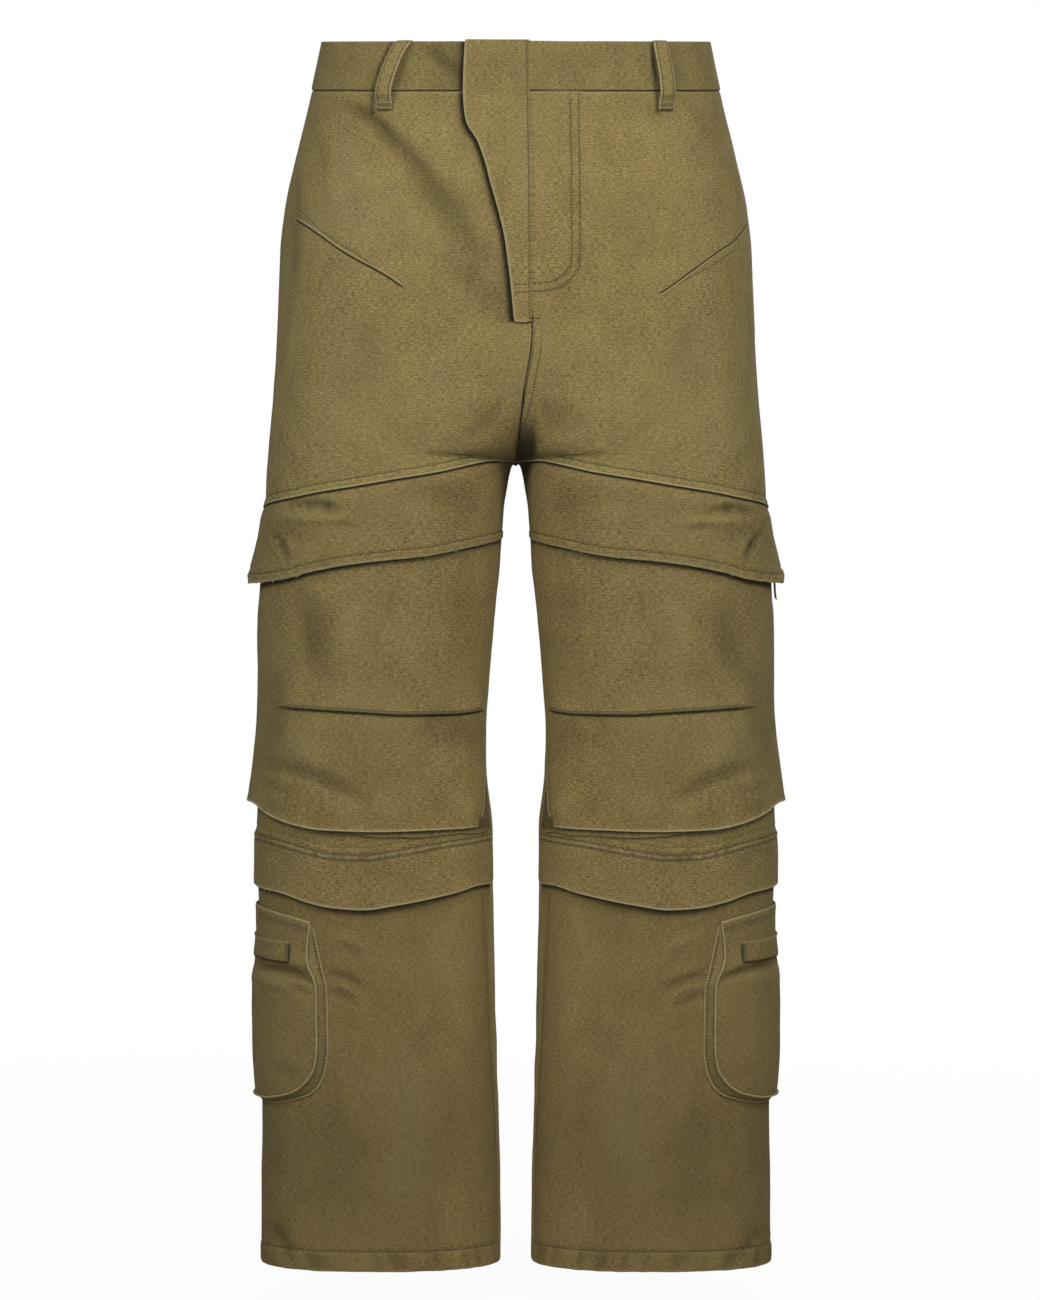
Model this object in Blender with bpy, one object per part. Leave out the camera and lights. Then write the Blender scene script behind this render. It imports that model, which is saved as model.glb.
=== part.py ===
"""Wide-leg cargo trousers in cotton canvas, filled out as if worn, with nothing inside.

Metres, +Z up. The front faces -Y, and the wearer's right leg is on -X. The origin is the middle
of the waist opening, where a wearer's waist holds the garment up.

Every piece is a wall of cloth on one smooth body form. A place on the form is given by its side
(-1 the wearer's right, +1 the left), its girth and its height. Girth runs from 0 at the side
seam to +1 at the centre front or inseam, and to -1 at the centre back or inseam. Heights, lifts
and thicknesses in the tables are in millimetres.
"""
import bmesh
import bpy
import numpy as np

MM = 0.001

# Driving sizes, in millimetres.
HEM = -1053.0
CROTCH = -364.0
FORK_RISE = 90.0            # height over which the fork rounds from the crotch up to full depth
FORK_POWER = 2.6            # how square that rounding is
OUTER_POWER = 2.45          # squareness of the section between side seam and foremost line
INNER_POWER = 2.3           # squareness of the section between foremost line and inseam
FLAT_POWER = 8              # how narrow the flat on the inside of the thigh is
BAND_HEIGHT = 43.0
FRONT_TILT = 0.165          # how far the waist edge drops towards the front, per mm of depth
BACK_TILT = 0.075           # how far it rises towards the back
CLOTH = 1.4                 # one layer of canvas
DOUBLE_CLOTH = 2.0          # two layers stitched together
BAND_CLOTH = 2.4
BAND_PROUD = 1.0            # how far the band stands outside the hip panels
SEAM = 0.17                 # half of the gap kept between two pieces at a seam
LAY = 0.7                   # gap under a piece that lies on another
OVERLAY = LAY + CLOTH       # outer face of a piece laid on the trouser leg
LOOP_WIDTH = 12.0
LOOP_STAND = 7.5            # how far a belt loop's inside stands off the hip form
SIDES = {"right": -1, "left": 1}

# The body form: half width at the side seam, depth to the front and back, distance of the
# foremost line from the middle, half of the gap between the legs, and how much of that gap is
# only a flat on the inside of the thigh.
FORM_COLUMNS = ("z", "side", "front", "back", "mid", "gap", "flat")
FORM = (
    (20, 163.0, 99.0, 104.0, 29, 0.2, 0.0),
    (0, 166.5, 101.0, 106.0, 30, 0.2, 0.0),
    (-43, 175.5, 107.0, 113.0, 32, 0.2, 0.0),
    (-77, 183.5, 111.0, 120.0, 35, 0.2, 0.0),
    (-112, 192.0, 114.0, 127.0, 40, 0.2, 0.0),
    (-146, 199.0, 117.0, 133.0, 47, 0.2, 0.0),
    (-181, 203.0, 119.0, 137.0, 56, 0.2, 0.0),
    (-216, 204.5, 120.0, 138.0, 65, 0.2, 0.0),
    (-285, 207.5, 118.0, 134.0, 83, 0.2, 0.0),
    (-354, 213.5, 114.0, 124.0, 102, 0.2, 0.0),
    (-364, 214.2, 113.3, 122.2, 104, 0.5, 0.0),
    (-366, 214.4, 113.2, 121.8, 104, 4.4, 3.6),
    (-371, 214.7, 113.0, 121.0, 105, 7.7, 6.2),
    (-388, 215.5, 112.0, 118.0, 108, 10.7, 6.2),
    (-405, 216.0, 110.0, 115.0, 110, 13.0, 5.5),
    (-440, 217.4, 107.5, 110.0, 113, 14.6, 1.8),
    (-492, 219.0, 104.0, 104.0, 117, 18.9, 0.4),
    (-562, 219.5, 99.0, 97.0, 120, 23.9, 0.0),
    (-596, 221.0, 97.0, 94.0, 122, 25.9, 0.0),
    (-631, 222.5, 95.0, 91.0, 122, 25.2, 0.0),
    (-683, 224.0, 92.0, 88.0, 121, 20.0, 0.0),
    (-735, 222.5, 88.0, 85.0, 120, 19.8, 0.0),
    (-787, 220.5, 84.0, 82.0, 119, 18.6, 0.0),
    (-856, 219.0, 80.0, 79.0, 118, 17.3, 0.0),
    (-925, 218.8, 77.0, 76.0, 117, 15.1, 0.0),
    (-994, 219.7, 75.0, 75.0, 116, 13.5, 0.0),
    (-1080, 219.7, 74.0, 74.0, 116, 13.0, 0.0),
)

# Seams as they run down the form. The centre front lies a little to the wearer's left, the right
# side seam comes forward over the hip, and the inseams come forward below the knee. A station is
# 0 at the side, 1 on the foremost line and 2 at the inside of the leg.
SEAM_COLUMNS = ("z", "centre_x", "right_station", "left_station", "inseam_station")
SEAMS = (
    (20, 11.0, 0.02, -0.10, 2.00),
    (-60, 12.0, 0.04, -0.10, 2.00),
    (-110, 12.8, 0.11, -0.10, 2.00),
    (-150, 13.3, 0.20, -0.10, 2.00),
    (-175, 13.5, 0.20, -0.07, 2.00),
    (-200, 13.7, 0.12, -0.05, 2.00),
    (-250, 13.8, 0.05, -0.02, 2.00),
    (-275, 12.5, 0.02, 0.00, 2.00),
    (-300, 8.0, 0.00, 0.00, 2.00),
    (-325, 5.0, 0.00, 0.00, 2.00),
    (-352, 2.0, 0.00, 0.00, 2.00),
    (-364, 0.5, 0.00, 0.00, 2.00),
    (-420, 0.0, 0.00, 0.00, 1.98),
    (-480, 0.0, 0.00, 0.00, 1.93),
    (-560, 0.0, 0.00, 0.00, 1.90),
    (-700, 0.0, 0.00, 0.00, 1.86),
    (-790, 0.0, 0.00, 0.00, 1.78),
    (-860, 0.0, 0.00, 0.00, 1.80),
    (-940, 0.0, 0.00, 0.00, 1.86),
    (-1080, 0.0, 0.00, 0.00, 1.86),
)

# Edges that run across a leg's front: height at each girth.
EDGE_COLUMNS = ("girth", "thigh_seam", "flap", "pleat", "pocket", "knee_seam", "knee_flap")
EDGES = (
    (0.00, -405.0, -470.0, -573.5, -656.0, -682.0, -726.0),
    (0.13, -402.5, -470.0, -574.0, -657.0, -683.5, -729.0),
    (0.26, -399.0, -468.0, -575.0, -668.0, -688.0, -732.5),
    (0.35, -394.5, -461.5, -576.3, -674.5, -693.5, -739.5),
    (0.43, -390.5, -456.5, -577.7, -678.0, -698.0, -744.0),
    (0.52, -385.0, -452.5, -579.2, -679.0, -698.7, -745.5),
    (0.62, -378.8, -449.0, -581.0, -679.5, -694.5, -741.5),
    (0.78, -367.0, -438.5, -580.5, -678.5, -687.5, -733.0),
    (0.90, -364.6, -433.0, -578.0, -678.0, -685.0, -727.0),
    (1.00, CROTCH, -430.0, -577.0, -677.0, -683.5, -726.0),
)

# How far each overlay's inside stands off the form along its free lower edge.
STAND_COLUMNS = ("girth", "flap", "pocket", "knee_flap")
STANDS = (
    (0.00, 12.0, 7.6, 1.8),
    (0.10, 9.0, 5.2, 2.0),
    (0.20, 6.2, 3.4, 2.4),
    (0.35, 4.4, 2.0, 3.0),
    (0.60, 3.6, 1.5, 4.0),
    (0.85, 3.4, 1.6, 3.4),
    (1.00, 3.6, 2.0, 4.0),
)
PLEAT_STAND = 3.4           # how far the pleat's fold stands off
PLEAT_STEP = 1.5            # height over which the cloth returns under the fold
PLEAT_RISE = 12.0           # height over which the cloth swells out to the fold
FLAP_FLARE = 1.35           # power of the curve by which the flap swings out
FLAP_DROP = 4.0             # how far below the thigh seam the flap starts
FLAP_CLEAR = 0.9            # gap between the flap and the pocket under it
POCKET_DROP = 20.0          # how far below it the pocket starts, under the flap

# The thigh pocket's inner edge leaves the inseam below the pleat.
POCKET_INNER_COLUMNS = ("z", "girth")
POCKET_INNER = (
    (-380, 0.998),
    (-600, 0.998),
    (-625, 0.985),
    (-647, 0.953),
    (-668, 0.915),
    (-690, 0.880),
)

# The fly overlap's free edge, with how far its inside stands off there and at its sewn edge.
FLY_COLUMNS = ("z", "girth", "free_stand", "sewn_stand")
FLY = (
    (-17, 0.772, 1.8, 1.6),
    (-40, 0.772, 1.9, 1.6),
    (-60, 0.774, 2.0, 1.6),
    (-78, 0.780, 2.2, 0.8),
    (-86, 0.785, 2.4, 0.7),
    (-104, 0.824, 2.8, 0.6),
    (-120, 0.845, 2.7, 0.6),
    (-137, 0.859, 2.6, 0.6),
    (-165, 0.891, 2.0, 0.6),
    (-195, 0.919, 1.6, 0.6),
    (-225, 0.936, 1.2, 0.6),
    (-253, 0.947, 0.8, 0.6),
)

# Belt loops: where their middle starts below the band and ends at the top edge.
LOOP_COLUMNS = ("name", "side", "low_girth", "high_girth")
LOOPS = (
    ("belt_loop_front_right", -1, 0.492, 0.556),
    ("belt_loop_front_left", 1, 0.544, 0.527),
    ("belt_loop_back_right", -1, -0.450, -0.450),
    ("belt_loop_back_left", 1, -0.450, -0.450),
)
LOOP_PROFILE_COLUMNS = ("above_band_seam", "stand")
LOOP_PROFILE = (
    (-17.0, 0.5),
    (-11.0, 0.6),
    (-5.0, 5.6),
    (15.0, LOOP_STAND),
    (33.0, 6.2),
    (38.5, 1.5),
    (42.5, 1.5),
)

# The bellows pocket on the calf, centred on the side seam: its face's outline, the line where the
# gusset is sewn to the leg, and how far the face's inside stands off.
CALF_COLUMNS = ("face_z", "face_girth", "gusset_z", "gusset_girth", "stand")
CALF = (
    (-757, 0.360, -759.0, 0.366, 6.3),
    (-775, 0.351, -778.0, 0.379, 7.0),
    (-794, 0.354, -796.0, 0.391, 7.8),
    (-812, 0.379, -812.0, 0.403, 8.4),
    (-863, 0.371, -862.0, 0.397, 9.2),
    (-880, 0.359, -882.0, 0.384, 9.2),
    (-896, 0.316, -899.0, 0.350, 8.4),
    (-905, 0.248, -909.0, 0.262, 7.4),
    (-908, 0.150, -914.0, 0.167, 7.0),
)
CALF_MOUTH = -744.0         # the mouth's height at the side seam
CALF_MOUTH_DROP = 12.0      # how much lower the mouth's corners are
CALF_MIDDLE = -825.0
CALF_DIVISIONS = 12
GUSSET_CLEAR = 1.6          # gap between the gusset's edges and the leg or the face
GUSSET_DRAW = 0.985         # the gusset's inside, drawn in towards the pocket's middle
WELT_CLOTH = 1.2
WELT_HEIGHT = 17.0
WELT_MIDDLE = -779.0        # at the side seam
WELT_DROP = 3.0             # how much lower its ends are

# The small tab that hangs behind the left flap's outer corner.
TAB_COLUMNS = ("z", "stand")
TAB = ((-436, 2.7), (-450, 3.6), (-466, 4.8), (-483, 5.6))
TAB_GIRTHS = (-0.02, 0.03)

# Rows of cloth, as shares of a piece's height, closer together at the fork.
FRONT_GIRTHS = np.linspace(0, 1, 13)
HIP_ROWS = (0, 0.15, 0.32, 0.48, 0.63, 0.76, 0.87, 0.94, 0.977, 1)
THIGH_ROWS = (0, 0.008, 0.03, 0.1, 0.26, 0.46, 0.64, 0.8, 1)
SHIN_ROWS = (0, 0.15, 0.3, 0.45, 0.63, 0.81, 1)
FLAP_ROWS = (0, 0.22, 0.6, 1)
PANEL_LENGTH = 270.0        # about the length round a front panel, which turns gaps into girths
WAIST_QUARTER = 232.0       # the same at the waist

OLIVE = (0.235, 0.185, 0.085, 1)


def column(rows, columns, name):
    """One named column of a table, as an array."""
    return np.array([row[columns.index(name)] for row in rows], float)


def along(rows, columns, name, where):
    """Read a column at any place: a cubic through the rows that never overshoots them."""
    place = column(rows, columns, columns[0])
    value = column(rows, columns, name)
    order = np.argsort(place)
    place, value = place[order], value[order]
    step = np.diff(place)
    slope = np.diff(value) / step
    product = slope[1:] * slope[:-1]
    total = np.where(product > 0, slope[1:] + slope[:-1], 1)
    tangent = np.concatenate(([slope[0]], np.where(product > 0, 2 * product / total, 0), [slope[-1]]))
    where = np.clip(where, place[0], place[-1])
    cell = np.clip(np.searchsorted(place, where) - 1, 0, len(step) - 1)
    s = (where - place[cell]) / step[cell]
    return (
        (2 * s**3 - 3 * s**2 + 1) * value[cell]
        + (s**3 - 2 * s**2 + s) * step[cell] * tangent[cell]
        + (3 * s**2 - 2 * s**3) * value[cell + 1]
        + (s**3 - s**2) * step[cell] * tangent[cell + 1]
    )


def form(name, z):
    return along(FORM, FORM_COLUMNS, name, z)


def seam(name, z):
    return along(SEAMS, SEAM_COLUMNS, name, z)


def edge(name, girth):
    return along(EDGES, EDGE_COLUMNS, name, girth)


def fork(z):
    """Share of the full depth that the fork has at a height: 0 at the crotch, then rounding to 1."""
    rise = np.clip((z - CROTCH) / FORK_RISE, 0, 1)
    return (1 - (1 - rise) ** FORK_POWER) ** (1 / FORK_POWER)


def quarter(share, power):
    """A quarter of a squared-off circle, from (1, 0) to (0, 1)."""
    angle = np.clip(share, 0, 1) * np.pi / 2
    c, s = np.clip(np.cos(angle), 0, 1), np.sin(angle)
    reach = (c**power + s**power) ** (-1 / power)
    return reach * c, reach * s


def on_form(side, station, z):
    """Point of the form: station 0 at the side, +-1 foremost and hindmost, +-2 at the inside."""
    station = (station + 2) % 4 - 2
    ahead = station >= 0
    depth = np.where(ahead, form("front", z), form("back", z))
    mid = form("mid", z)
    turn = np.where(ahead, side, -side) * seam("centre_x", z)
    inner = np.where(z > CROTCH, turn + form("gap", z), form("gap", z))
    outer_x, outer_y = quarter(np.abs(station), OUTER_POWER)
    inner_x, inner_y = quarter(2 - np.abs(station), INNER_POWER)
    inner = inner - form("flat", z) * (1 - inner_x**FLAT_POWER)
    at_fork = depth * fork(z)
    outside = np.abs(station) <= 1
    x = np.where(outside, mid + (form("side", z) - mid) * outer_x, mid - (mid - inner) * inner_x)
    y = np.where(outside, depth * outer_y, at_fork + (depth - at_fork) * inner_y)
    return np.stack((side * x, np.where(ahead, -y, y), z + 0 * x), axis=-1)


def girth_map(side, way):
    """Stations at even steps of length round the section, for a ladder of heights.

    Each level's section is measured from the side seam to its inner end, in front (way 1) or
    behind (way -1), and its stations are read back at equal shares of that length.
    """
    fine = np.linspace(0, 1, 161)
    start = seam("left_station" if side > 0 else "right_station", LEVELS)
    reach = seam("inseam_station", LEVELS)
    end = reach if way > 0 else reach - 4
    stations = start[:, None] + (end - start)[:, None] * fine
    inside = np.where(LEVELS[:, None] > CROTCH, np.clip(stations, -2, 1.9999), stations)
    points = on_form(side, inside, LEVELS[:, None])
    steps = np.linalg.norm(np.diff(points, axis=1), axis=-1)
    length = np.concatenate((np.zeros((len(LEVELS), 1)), np.cumsum(steps, axis=1)), axis=1)
    share = length / length[:, -1:]
    return np.array([np.interp(fine, share[i], stations[i]) for i in range(len(LEVELS))])


def station_at(side, girth, z):
    """Turn a girth, a share of the section's true length, into a station of the form."""
    found = np.zeros(girth.shape)
    for way in (1, -1):
        table = GIRTH_MAPS[side, way]
        down = np.clip((z - LEVELS[0]) / LEVEL_STEP, 0, len(LEVELS) - 1.001)
        over = np.clip(np.abs(girth), 0, 1) * (table.shape[1] - 1.001)
        i, j = down.astype(int), over.astype(int)
        s, t = down - i, over - j
        low = table[i, j] * (1 - t) + table[i, j + 1] * t
        high = table[i + 1, j] * (1 - t) + table[i + 1, j + 1] * t
        found = np.where(girth * way >= 0, low * (1 - s) + high * s, found)
    return found


def outward(side, station, z):
    """Unit normal of the form, from small steps that stay on one side of crotch and fork."""
    station = np.where(z > CROTCH, np.clip(station, -1.99, 1.99), station)
    ahead = on_form(side, station + 0.004, z) - on_form(side, station - 0.004, z)
    low = np.where(z > CROTCH, np.maximum(z - 0.4, CROTCH + 0.01), z - 0.4)
    high = np.where(z > CROTCH, z + 0.4, np.minimum(z + 0.4, CROTCH - 0.01))
    up = on_form(side, station, high) - on_form(side, station, low)
    normal = side * np.cross(up, ahead)
    return normal / np.linalg.norm(normal, axis=-1, keepdims=True)


def place(side, girth, z, stand):
    """Points at a girth and height, moved out from the form by a stand-off."""
    girth, z, stand = np.broadcast_arrays(np.asarray(girth, float), np.asarray(z, float), stand)
    station = station_at(side, girth, z)
    return on_form(side, station, z) + stand[..., None] * outward(side, station, z)


def sew(name, inside, outside):
    """One closed piece of cloth between two like grids of points, joined round their edges."""
    columns, rows = inside.shape[:2]
    grid = np.arange(columns * rows).reshape(columns, rows)
    skin = np.stack((grid[:-1, :-1], grid[1:, :-1], grid[1:, 1:], grid[:-1, 1:]), axis=-1).reshape(-1, 4)
    border = np.concatenate((grid[:, 0], grid[-1, 1:], grid[-2::-1, -1], grid[0, -2:0:-1]))
    following = np.roll(border, -1)
    far = grid.size
    rim = np.stack((border, following, following + far, border + far), axis=-1)
    faces = np.concatenate((skin, skin[:, ::-1] + far, rim))
    points = np.concatenate((inside.reshape(-1, 3), outside.reshape(-1, 3))) * MM
    mesh = bpy.data.meshes.new(name)
    mesh.from_pydata(points.tolist(), [], faces.tolist())
    work = bmesh.new()
    work.from_mesh(mesh)
    bmesh.ops.recalc_face_normals(work, faces=work.faces)
    work.to_mesh(mesh)
    work.free()
    mesh.materials.append(canvas(name))
    trousers.objects.link(bpy.data.objects.new(name, mesh))


def canvas(name):
    """Olive cotton canvas: matt, with no metal in it."""
    material = bpy.data.materials.new(name + "_canvas")
    material.use_nodes = True
    shader = material.node_tree.nodes["Principled BSDF"]
    shader.inputs["Base Color"].default_value = OLIVE
    shader.inputs["Roughness"].default_value = 0.9
    shader.inputs["Metallic"].default_value = 0
    return material


def panel(name, side, girths, heights, stands, thickness=CLOTH):
    """A piece on one side of the body: heights and stands are grids of columns by rows."""
    girths = np.asarray(girths, float)
    if girths.ndim == 1:
        girths = girths[:, None]
    inside = place(side, girths, heights, stands)
    sew(name, inside, place(side, girths, heights, stands + thickness))


def between(top, bottom, rows):
    """Heights of the rows between a top and a bottom edge, less the gap at both seams."""
    top, bottom = top - SEAM, bottom + SEAM
    rows = np.asarray(rows, float)[None, :]
    return top[:, None] * (1 - rows) + bottom[:, None] * rows


def inset(girths):
    """Keep a seam's gap at the first and last column."""
    girths = np.array(girths, float)
    girths[0] += SEAM / PANEL_LENGTH
    girths[-1] -= SEAM / PANEL_LENGTH
    return girths


def waist_edge(side, girths):
    """Height of the waist's top edge: a plane that drops forwards and rises backwards."""
    level = np.zeros_like(girths)
    depth = on_form(side, station_at(side, girths, level), level)[..., 1]
    return np.where(depth < 0, FRONT_TILT, BACK_TILT) * depth


def make_waistband():
    """The band: two fronts that end at the centre front, and one back."""
    rows = (0, 0.5, 1)
    low = BAND_PROUD - BAND_CLOTH
    halves = []
    for word, side in SIDES.items():
        girths = inset(FRONT_GIRTHS)
        top = waist_edge(side, girths)
        heights = between(top + SEAM, top - BAND_HEIGHT, rows)
        panel("waistband_front_" + word, side, girths, heights, low, BAND_CLOTH)
        girths = -girths
        top = waist_edge(side, girths)
        heights = between(top + SEAM, top - BAND_HEIGHT, rows)
        halves.append([place(side, girths[:, None], heights, stand) for stand in (low, BAND_PROUD)])
    right, left = halves
    whole = [np.concatenate((a[:-1], (a[-1:] + b[-1:]) / 2, b[-2::-1])) for a, b in zip(right, left)]
    sew("waistband_back", *whole)


def make_legs():
    """The trouser body: hip, thigh and shin panels in front, one long panel behind."""
    girths = inset(FRONT_GIRTHS)
    ends = np.array((0.0, 1.0))
    thigh_ends, knee_ends = edge("thigh_seam", ends), edge("knee_seam", ends)
    for word, side in SIDES.items():
        band_seam = waist_edge(side, girths) - BAND_HEIGHT
        thigh_seam, knee_seam = edge("thigh_seam", girths), edge("knee_seam", girths)
        hem = np.full_like(girths, HEM - SEAM)
        panel("front_hip_" + word, side, girths, between(band_seam, thigh_seam, HIP_ROWS), -CLOTH)
        panel("front_thigh_" + word, side, girths, between(thigh_seam, knee_seam, THIGH_ROWS), -CLOTH)
        panel("front_shin_" + word, side, girths, between(knee_seam, hem, SHIN_ROWS), -CLOTH)

        # The back's rows start and end on the front's, so that the seams match.
        band_seam = waist_edge(side, -girths) - BAND_HEIGHT
        thigh_line = np.interp(girths, ends, thigh_ends)
        knee_line = np.interp(girths, ends, knee_ends)
        heights = np.column_stack((
            between(band_seam, thigh_line, HIP_ROWS),
            between(thigh_line, knee_line, THIGH_ROWS)[:, :-1],
            between(knee_line, hem, SHIN_ROWS),
        ))
        panel("back_" + word, side, -girths, heights, -CLOTH)


def make_fly():
    """The overlap that closes the front: a double panel with a free, slanting edge."""
    z = column(FLY, FLY_COLUMNS, "z")
    free = column(FLY, FLY_COLUMNS, "girth")
    across = np.array((0, 0.35, 0.7, 1))[:, None]
    girths = free * (1 - across) + (1 - SEAM / PANEL_LENGTH) * across
    stands = column(FLY, FLY_COLUMNS, "free_stand") * (1 - across)
    stands = stands + column(FLY, FLY_COLUMNS, "sewn_stand") * across
    panel("fly_overlap", -1, girths, np.tile(z, (len(across), 1)), stands, DOUBLE_CLOTH)


def make_belt_loops():
    """Five loops, tacked below the band and at its top edge, standing off it between."""
    rise = column(LOOP_PROFILE, LOOP_PROFILE_COLUMNS, "above_band_seam")[::-1]
    stands = column(LOOP_PROFILE, LOOP_PROFILE_COLUMNS, "stand")[::-1]
    share = (rise - rise[-1]) / (rise[0] - rise[-1])
    half = LOOP_WIDTH / 2 / WAIST_QUARTER
    for name, side, low, high in LOOPS:
        middle = low + (high - low) * share
        girths = np.stack((middle - half, middle + half))
        heights = waist_edge(side, girths) - BAND_HEIGHT + rise
        panel(name, side, girths, heights, stands, DOUBLE_CLOTH)
    layers = []
    for lift in (0, DOUBLE_CLOTH):
        columns = []
        for side, girth in ((-1, -1 + half), (-1, -1.0), (1, -1 + half)):
            girths = np.full(len(rise), girth)
            heights = waist_edge(side, girths) - BAND_HEIGHT + rise
            columns.append(place(side, girths, heights, stands + lift))
        layers.append(np.stack(columns))
    sew("belt_loop_centre_back", *layers)


def make_thigh_pockets():
    """A pocket as wide as the leg's front, pleated at the knee, and the flap that covers it."""
    girths = inset(FRONT_GIRTHS)
    rows = np.linspace(0, 1, 5)
    for word, side in SIDES.items():
        thigh_seam, pleat = edge("thigh_seam", girths), edge("pleat", girths)
        above = between(thigh_seam - POCKET_DROP, pleat + PLEAT_RISE, rows)
        under = (pleat - PLEAT_STEP)[:, None]
        below = under * (1 - rows) + edge("pocket", girths)[:, None] * rows
        heights = np.column_stack((above, pleat, below))
        reach = along(STANDS, STAND_COLUMNS, "pocket", girths)[:, None]
        flat = np.full(above.shape, LAY)
        fold = np.full((len(girths), 1), PLEAT_STAND)
        stands = np.column_stack((flat, fold, LAY + (reach - LAY) * rows**2))
        inner = along(POCKET_INNER, POCKET_INNER_COLUMNS, "girth", heights)
        columns = np.minimum(girths[:, None], inner)
        columns[-2] = np.minimum(girths[-2], (girths[-3] + inner[-2]) / 2)
        columns[-1] = inner[-1]
        panel("thigh_pocket_" + word, side, columns, heights, stands)

        heights = between(thigh_seam - FLAP_DROP, edge("flap", girths), FLAP_ROWS)
        reach = along(STANDS, STAND_COLUMNS, "flap", girths)[:, None]
        over = OVERLAY + FLAP_CLEAR
        swing = over + (np.maximum(reach, over) - over) * np.array(FLAP_ROWS) ** FLAP_FLARE
        stands = np.where(np.array(FLAP_ROWS) == 0, LAY, swing)
        panel("thigh_flap_" + word, side, girths, heights, stands)
    tab_z, tab_stand = column(TAB, TAB_COLUMNS, "z"), column(TAB, TAB_COLUMNS, "stand")
    panel("flap_tab_left", 1, np.array(TAB_GIRTHS), np.tile(tab_z, (2, 1)), tab_stand)


def make_knee_flaps():
    """The strip of double-stitched cloth that hangs free from the knee seam."""
    girths = inset(FRONT_GIRTHS)
    rows = np.linspace(0, 1, 3)
    for word, side in SIDES.items():
        heights = between(edge("knee_seam", girths), edge("knee_flap", girths), rows)
        reach = along(STANDS, STAND_COLUMNS, "knee_flap", girths)[:, None]
        panel("knee_flap_" + word, side, girths, heights, LAY + (reach - LAY) * rows)


def make_calf_pockets():
    """A bellows pocket on each calf: face, gusset round three sides, and a welt on the face."""
    face_z = column(CALF, CALF_COLUMNS, "face_z")
    half = column(CALF, CALF_COLUMNS, "face_girth")
    stand = column(CALF, CALF_COLUMNS, "stand")
    across = np.linspace(-1, 1, CALF_DIVISIONS + 1)[:, None]
    mouth = CALF_MOUTH - CALF_MOUTH_DROP * np.abs(across) ** 2
    heights = np.column_stack((mouth, np.tile(face_z[1:], (len(across), 1))))
    girths = across * half

    # The gusset's outline runs down the back edge, along the bottom and up the front edge.
    sewn_z = column(CALF, CALF_COLUMNS, "gusset_z")
    sewn_half = column(CALF, CALF_COLUMNS, "gusset_girth")
    bottom = np.array((-0.5, 0, 0.5))
    low = np.repeat(-1, len(bottom))
    top_girth = np.concatenate((-half, bottom * half[-1], half[::-1]))
    top_z = np.concatenate((face_z, face_z[low], face_z[::-1]))
    top_stand = np.concatenate((stand, stand[low], stand[::-1])) - GUSSET_CLEAR
    foot_girth = np.concatenate((-sewn_half, bottom * sewn_half[-1], sewn_half[::-1]))
    foot_z = np.concatenate((sewn_z, sewn_z[low], sewn_z[::-1]))
    foot_stand = np.full_like(foot_z, GUSSET_CLEAR)

    welt_z = WELT_MIDDLE - WELT_DROP * np.abs(across[1:-1]) + WELT_HEIGHT * np.array((0.5, 0, -0.5))
    welt_girth = across[1:-1] * along(CALF, CALF_COLUMNS, "face_girth", welt_z)
    for word, side in SIDES.items():
        panel("calf_pocket_" + word, side, girths, heights, stand + 0 * girths)
        layers = []
        for draw in (1, GUSSET_DRAW):
            top_level = CALF_MIDDLE + (top_z - CALF_MIDDLE) * draw
            foot_level = CALF_MIDDLE + (foot_z - CALF_MIDDLE) * draw
            top = place(side, top_girth * draw, top_level, top_stand)
            foot = place(side, foot_girth * draw, foot_level, foot_stand)
            layers.append(np.stack((top, (2 * top + foot) / 3, (top + 2 * foot) / 3, foot), axis=1))
        sew("calf_gusset_" + word, *layers)
        welt_stand = along(CALF, CALF_COLUMNS, "stand", welt_z) + OVERLAY
        panel("calf_welt_" + word, side, welt_girth, welt_z, welt_stand, WELT_CLOTH)


LEVEL_STEP = 1.5
LEVELS = np.arange(HEM - 27, 20, LEVEL_STEP)
GIRTH_MAPS = {(side, way): girth_map(side, way) for side in (-1, 1) for way in (1, -1)}

for old in list(bpy.data.objects):
    bpy.data.objects.remove(old, do_unlink=True)
trousers = bpy.data.collections.new("trousers")
bpy.context.scene.collection.children.link(trousers)
make_waistband()
make_legs()
make_fly()
make_belt_loops()
make_thigh_pockets()
make_knee_flaps()
make_calf_pockets()
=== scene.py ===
"""The looks of a pair of wide-leg cargo trousers in washed olive canvas.

Lengths are in millimetres until a mesh is made, with +Z up and the front facing -Y. A place on
the cloth is given by its side (-1 the wearer's right, +1 the left), its girth and its height.
Girth runs from 0 at the side seam to +1 at the centre front or inseam, and to -1 behind.
"""

import bpy
import numpy as np
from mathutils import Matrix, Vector
from mathutils.bvhtree import BVHTree


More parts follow.
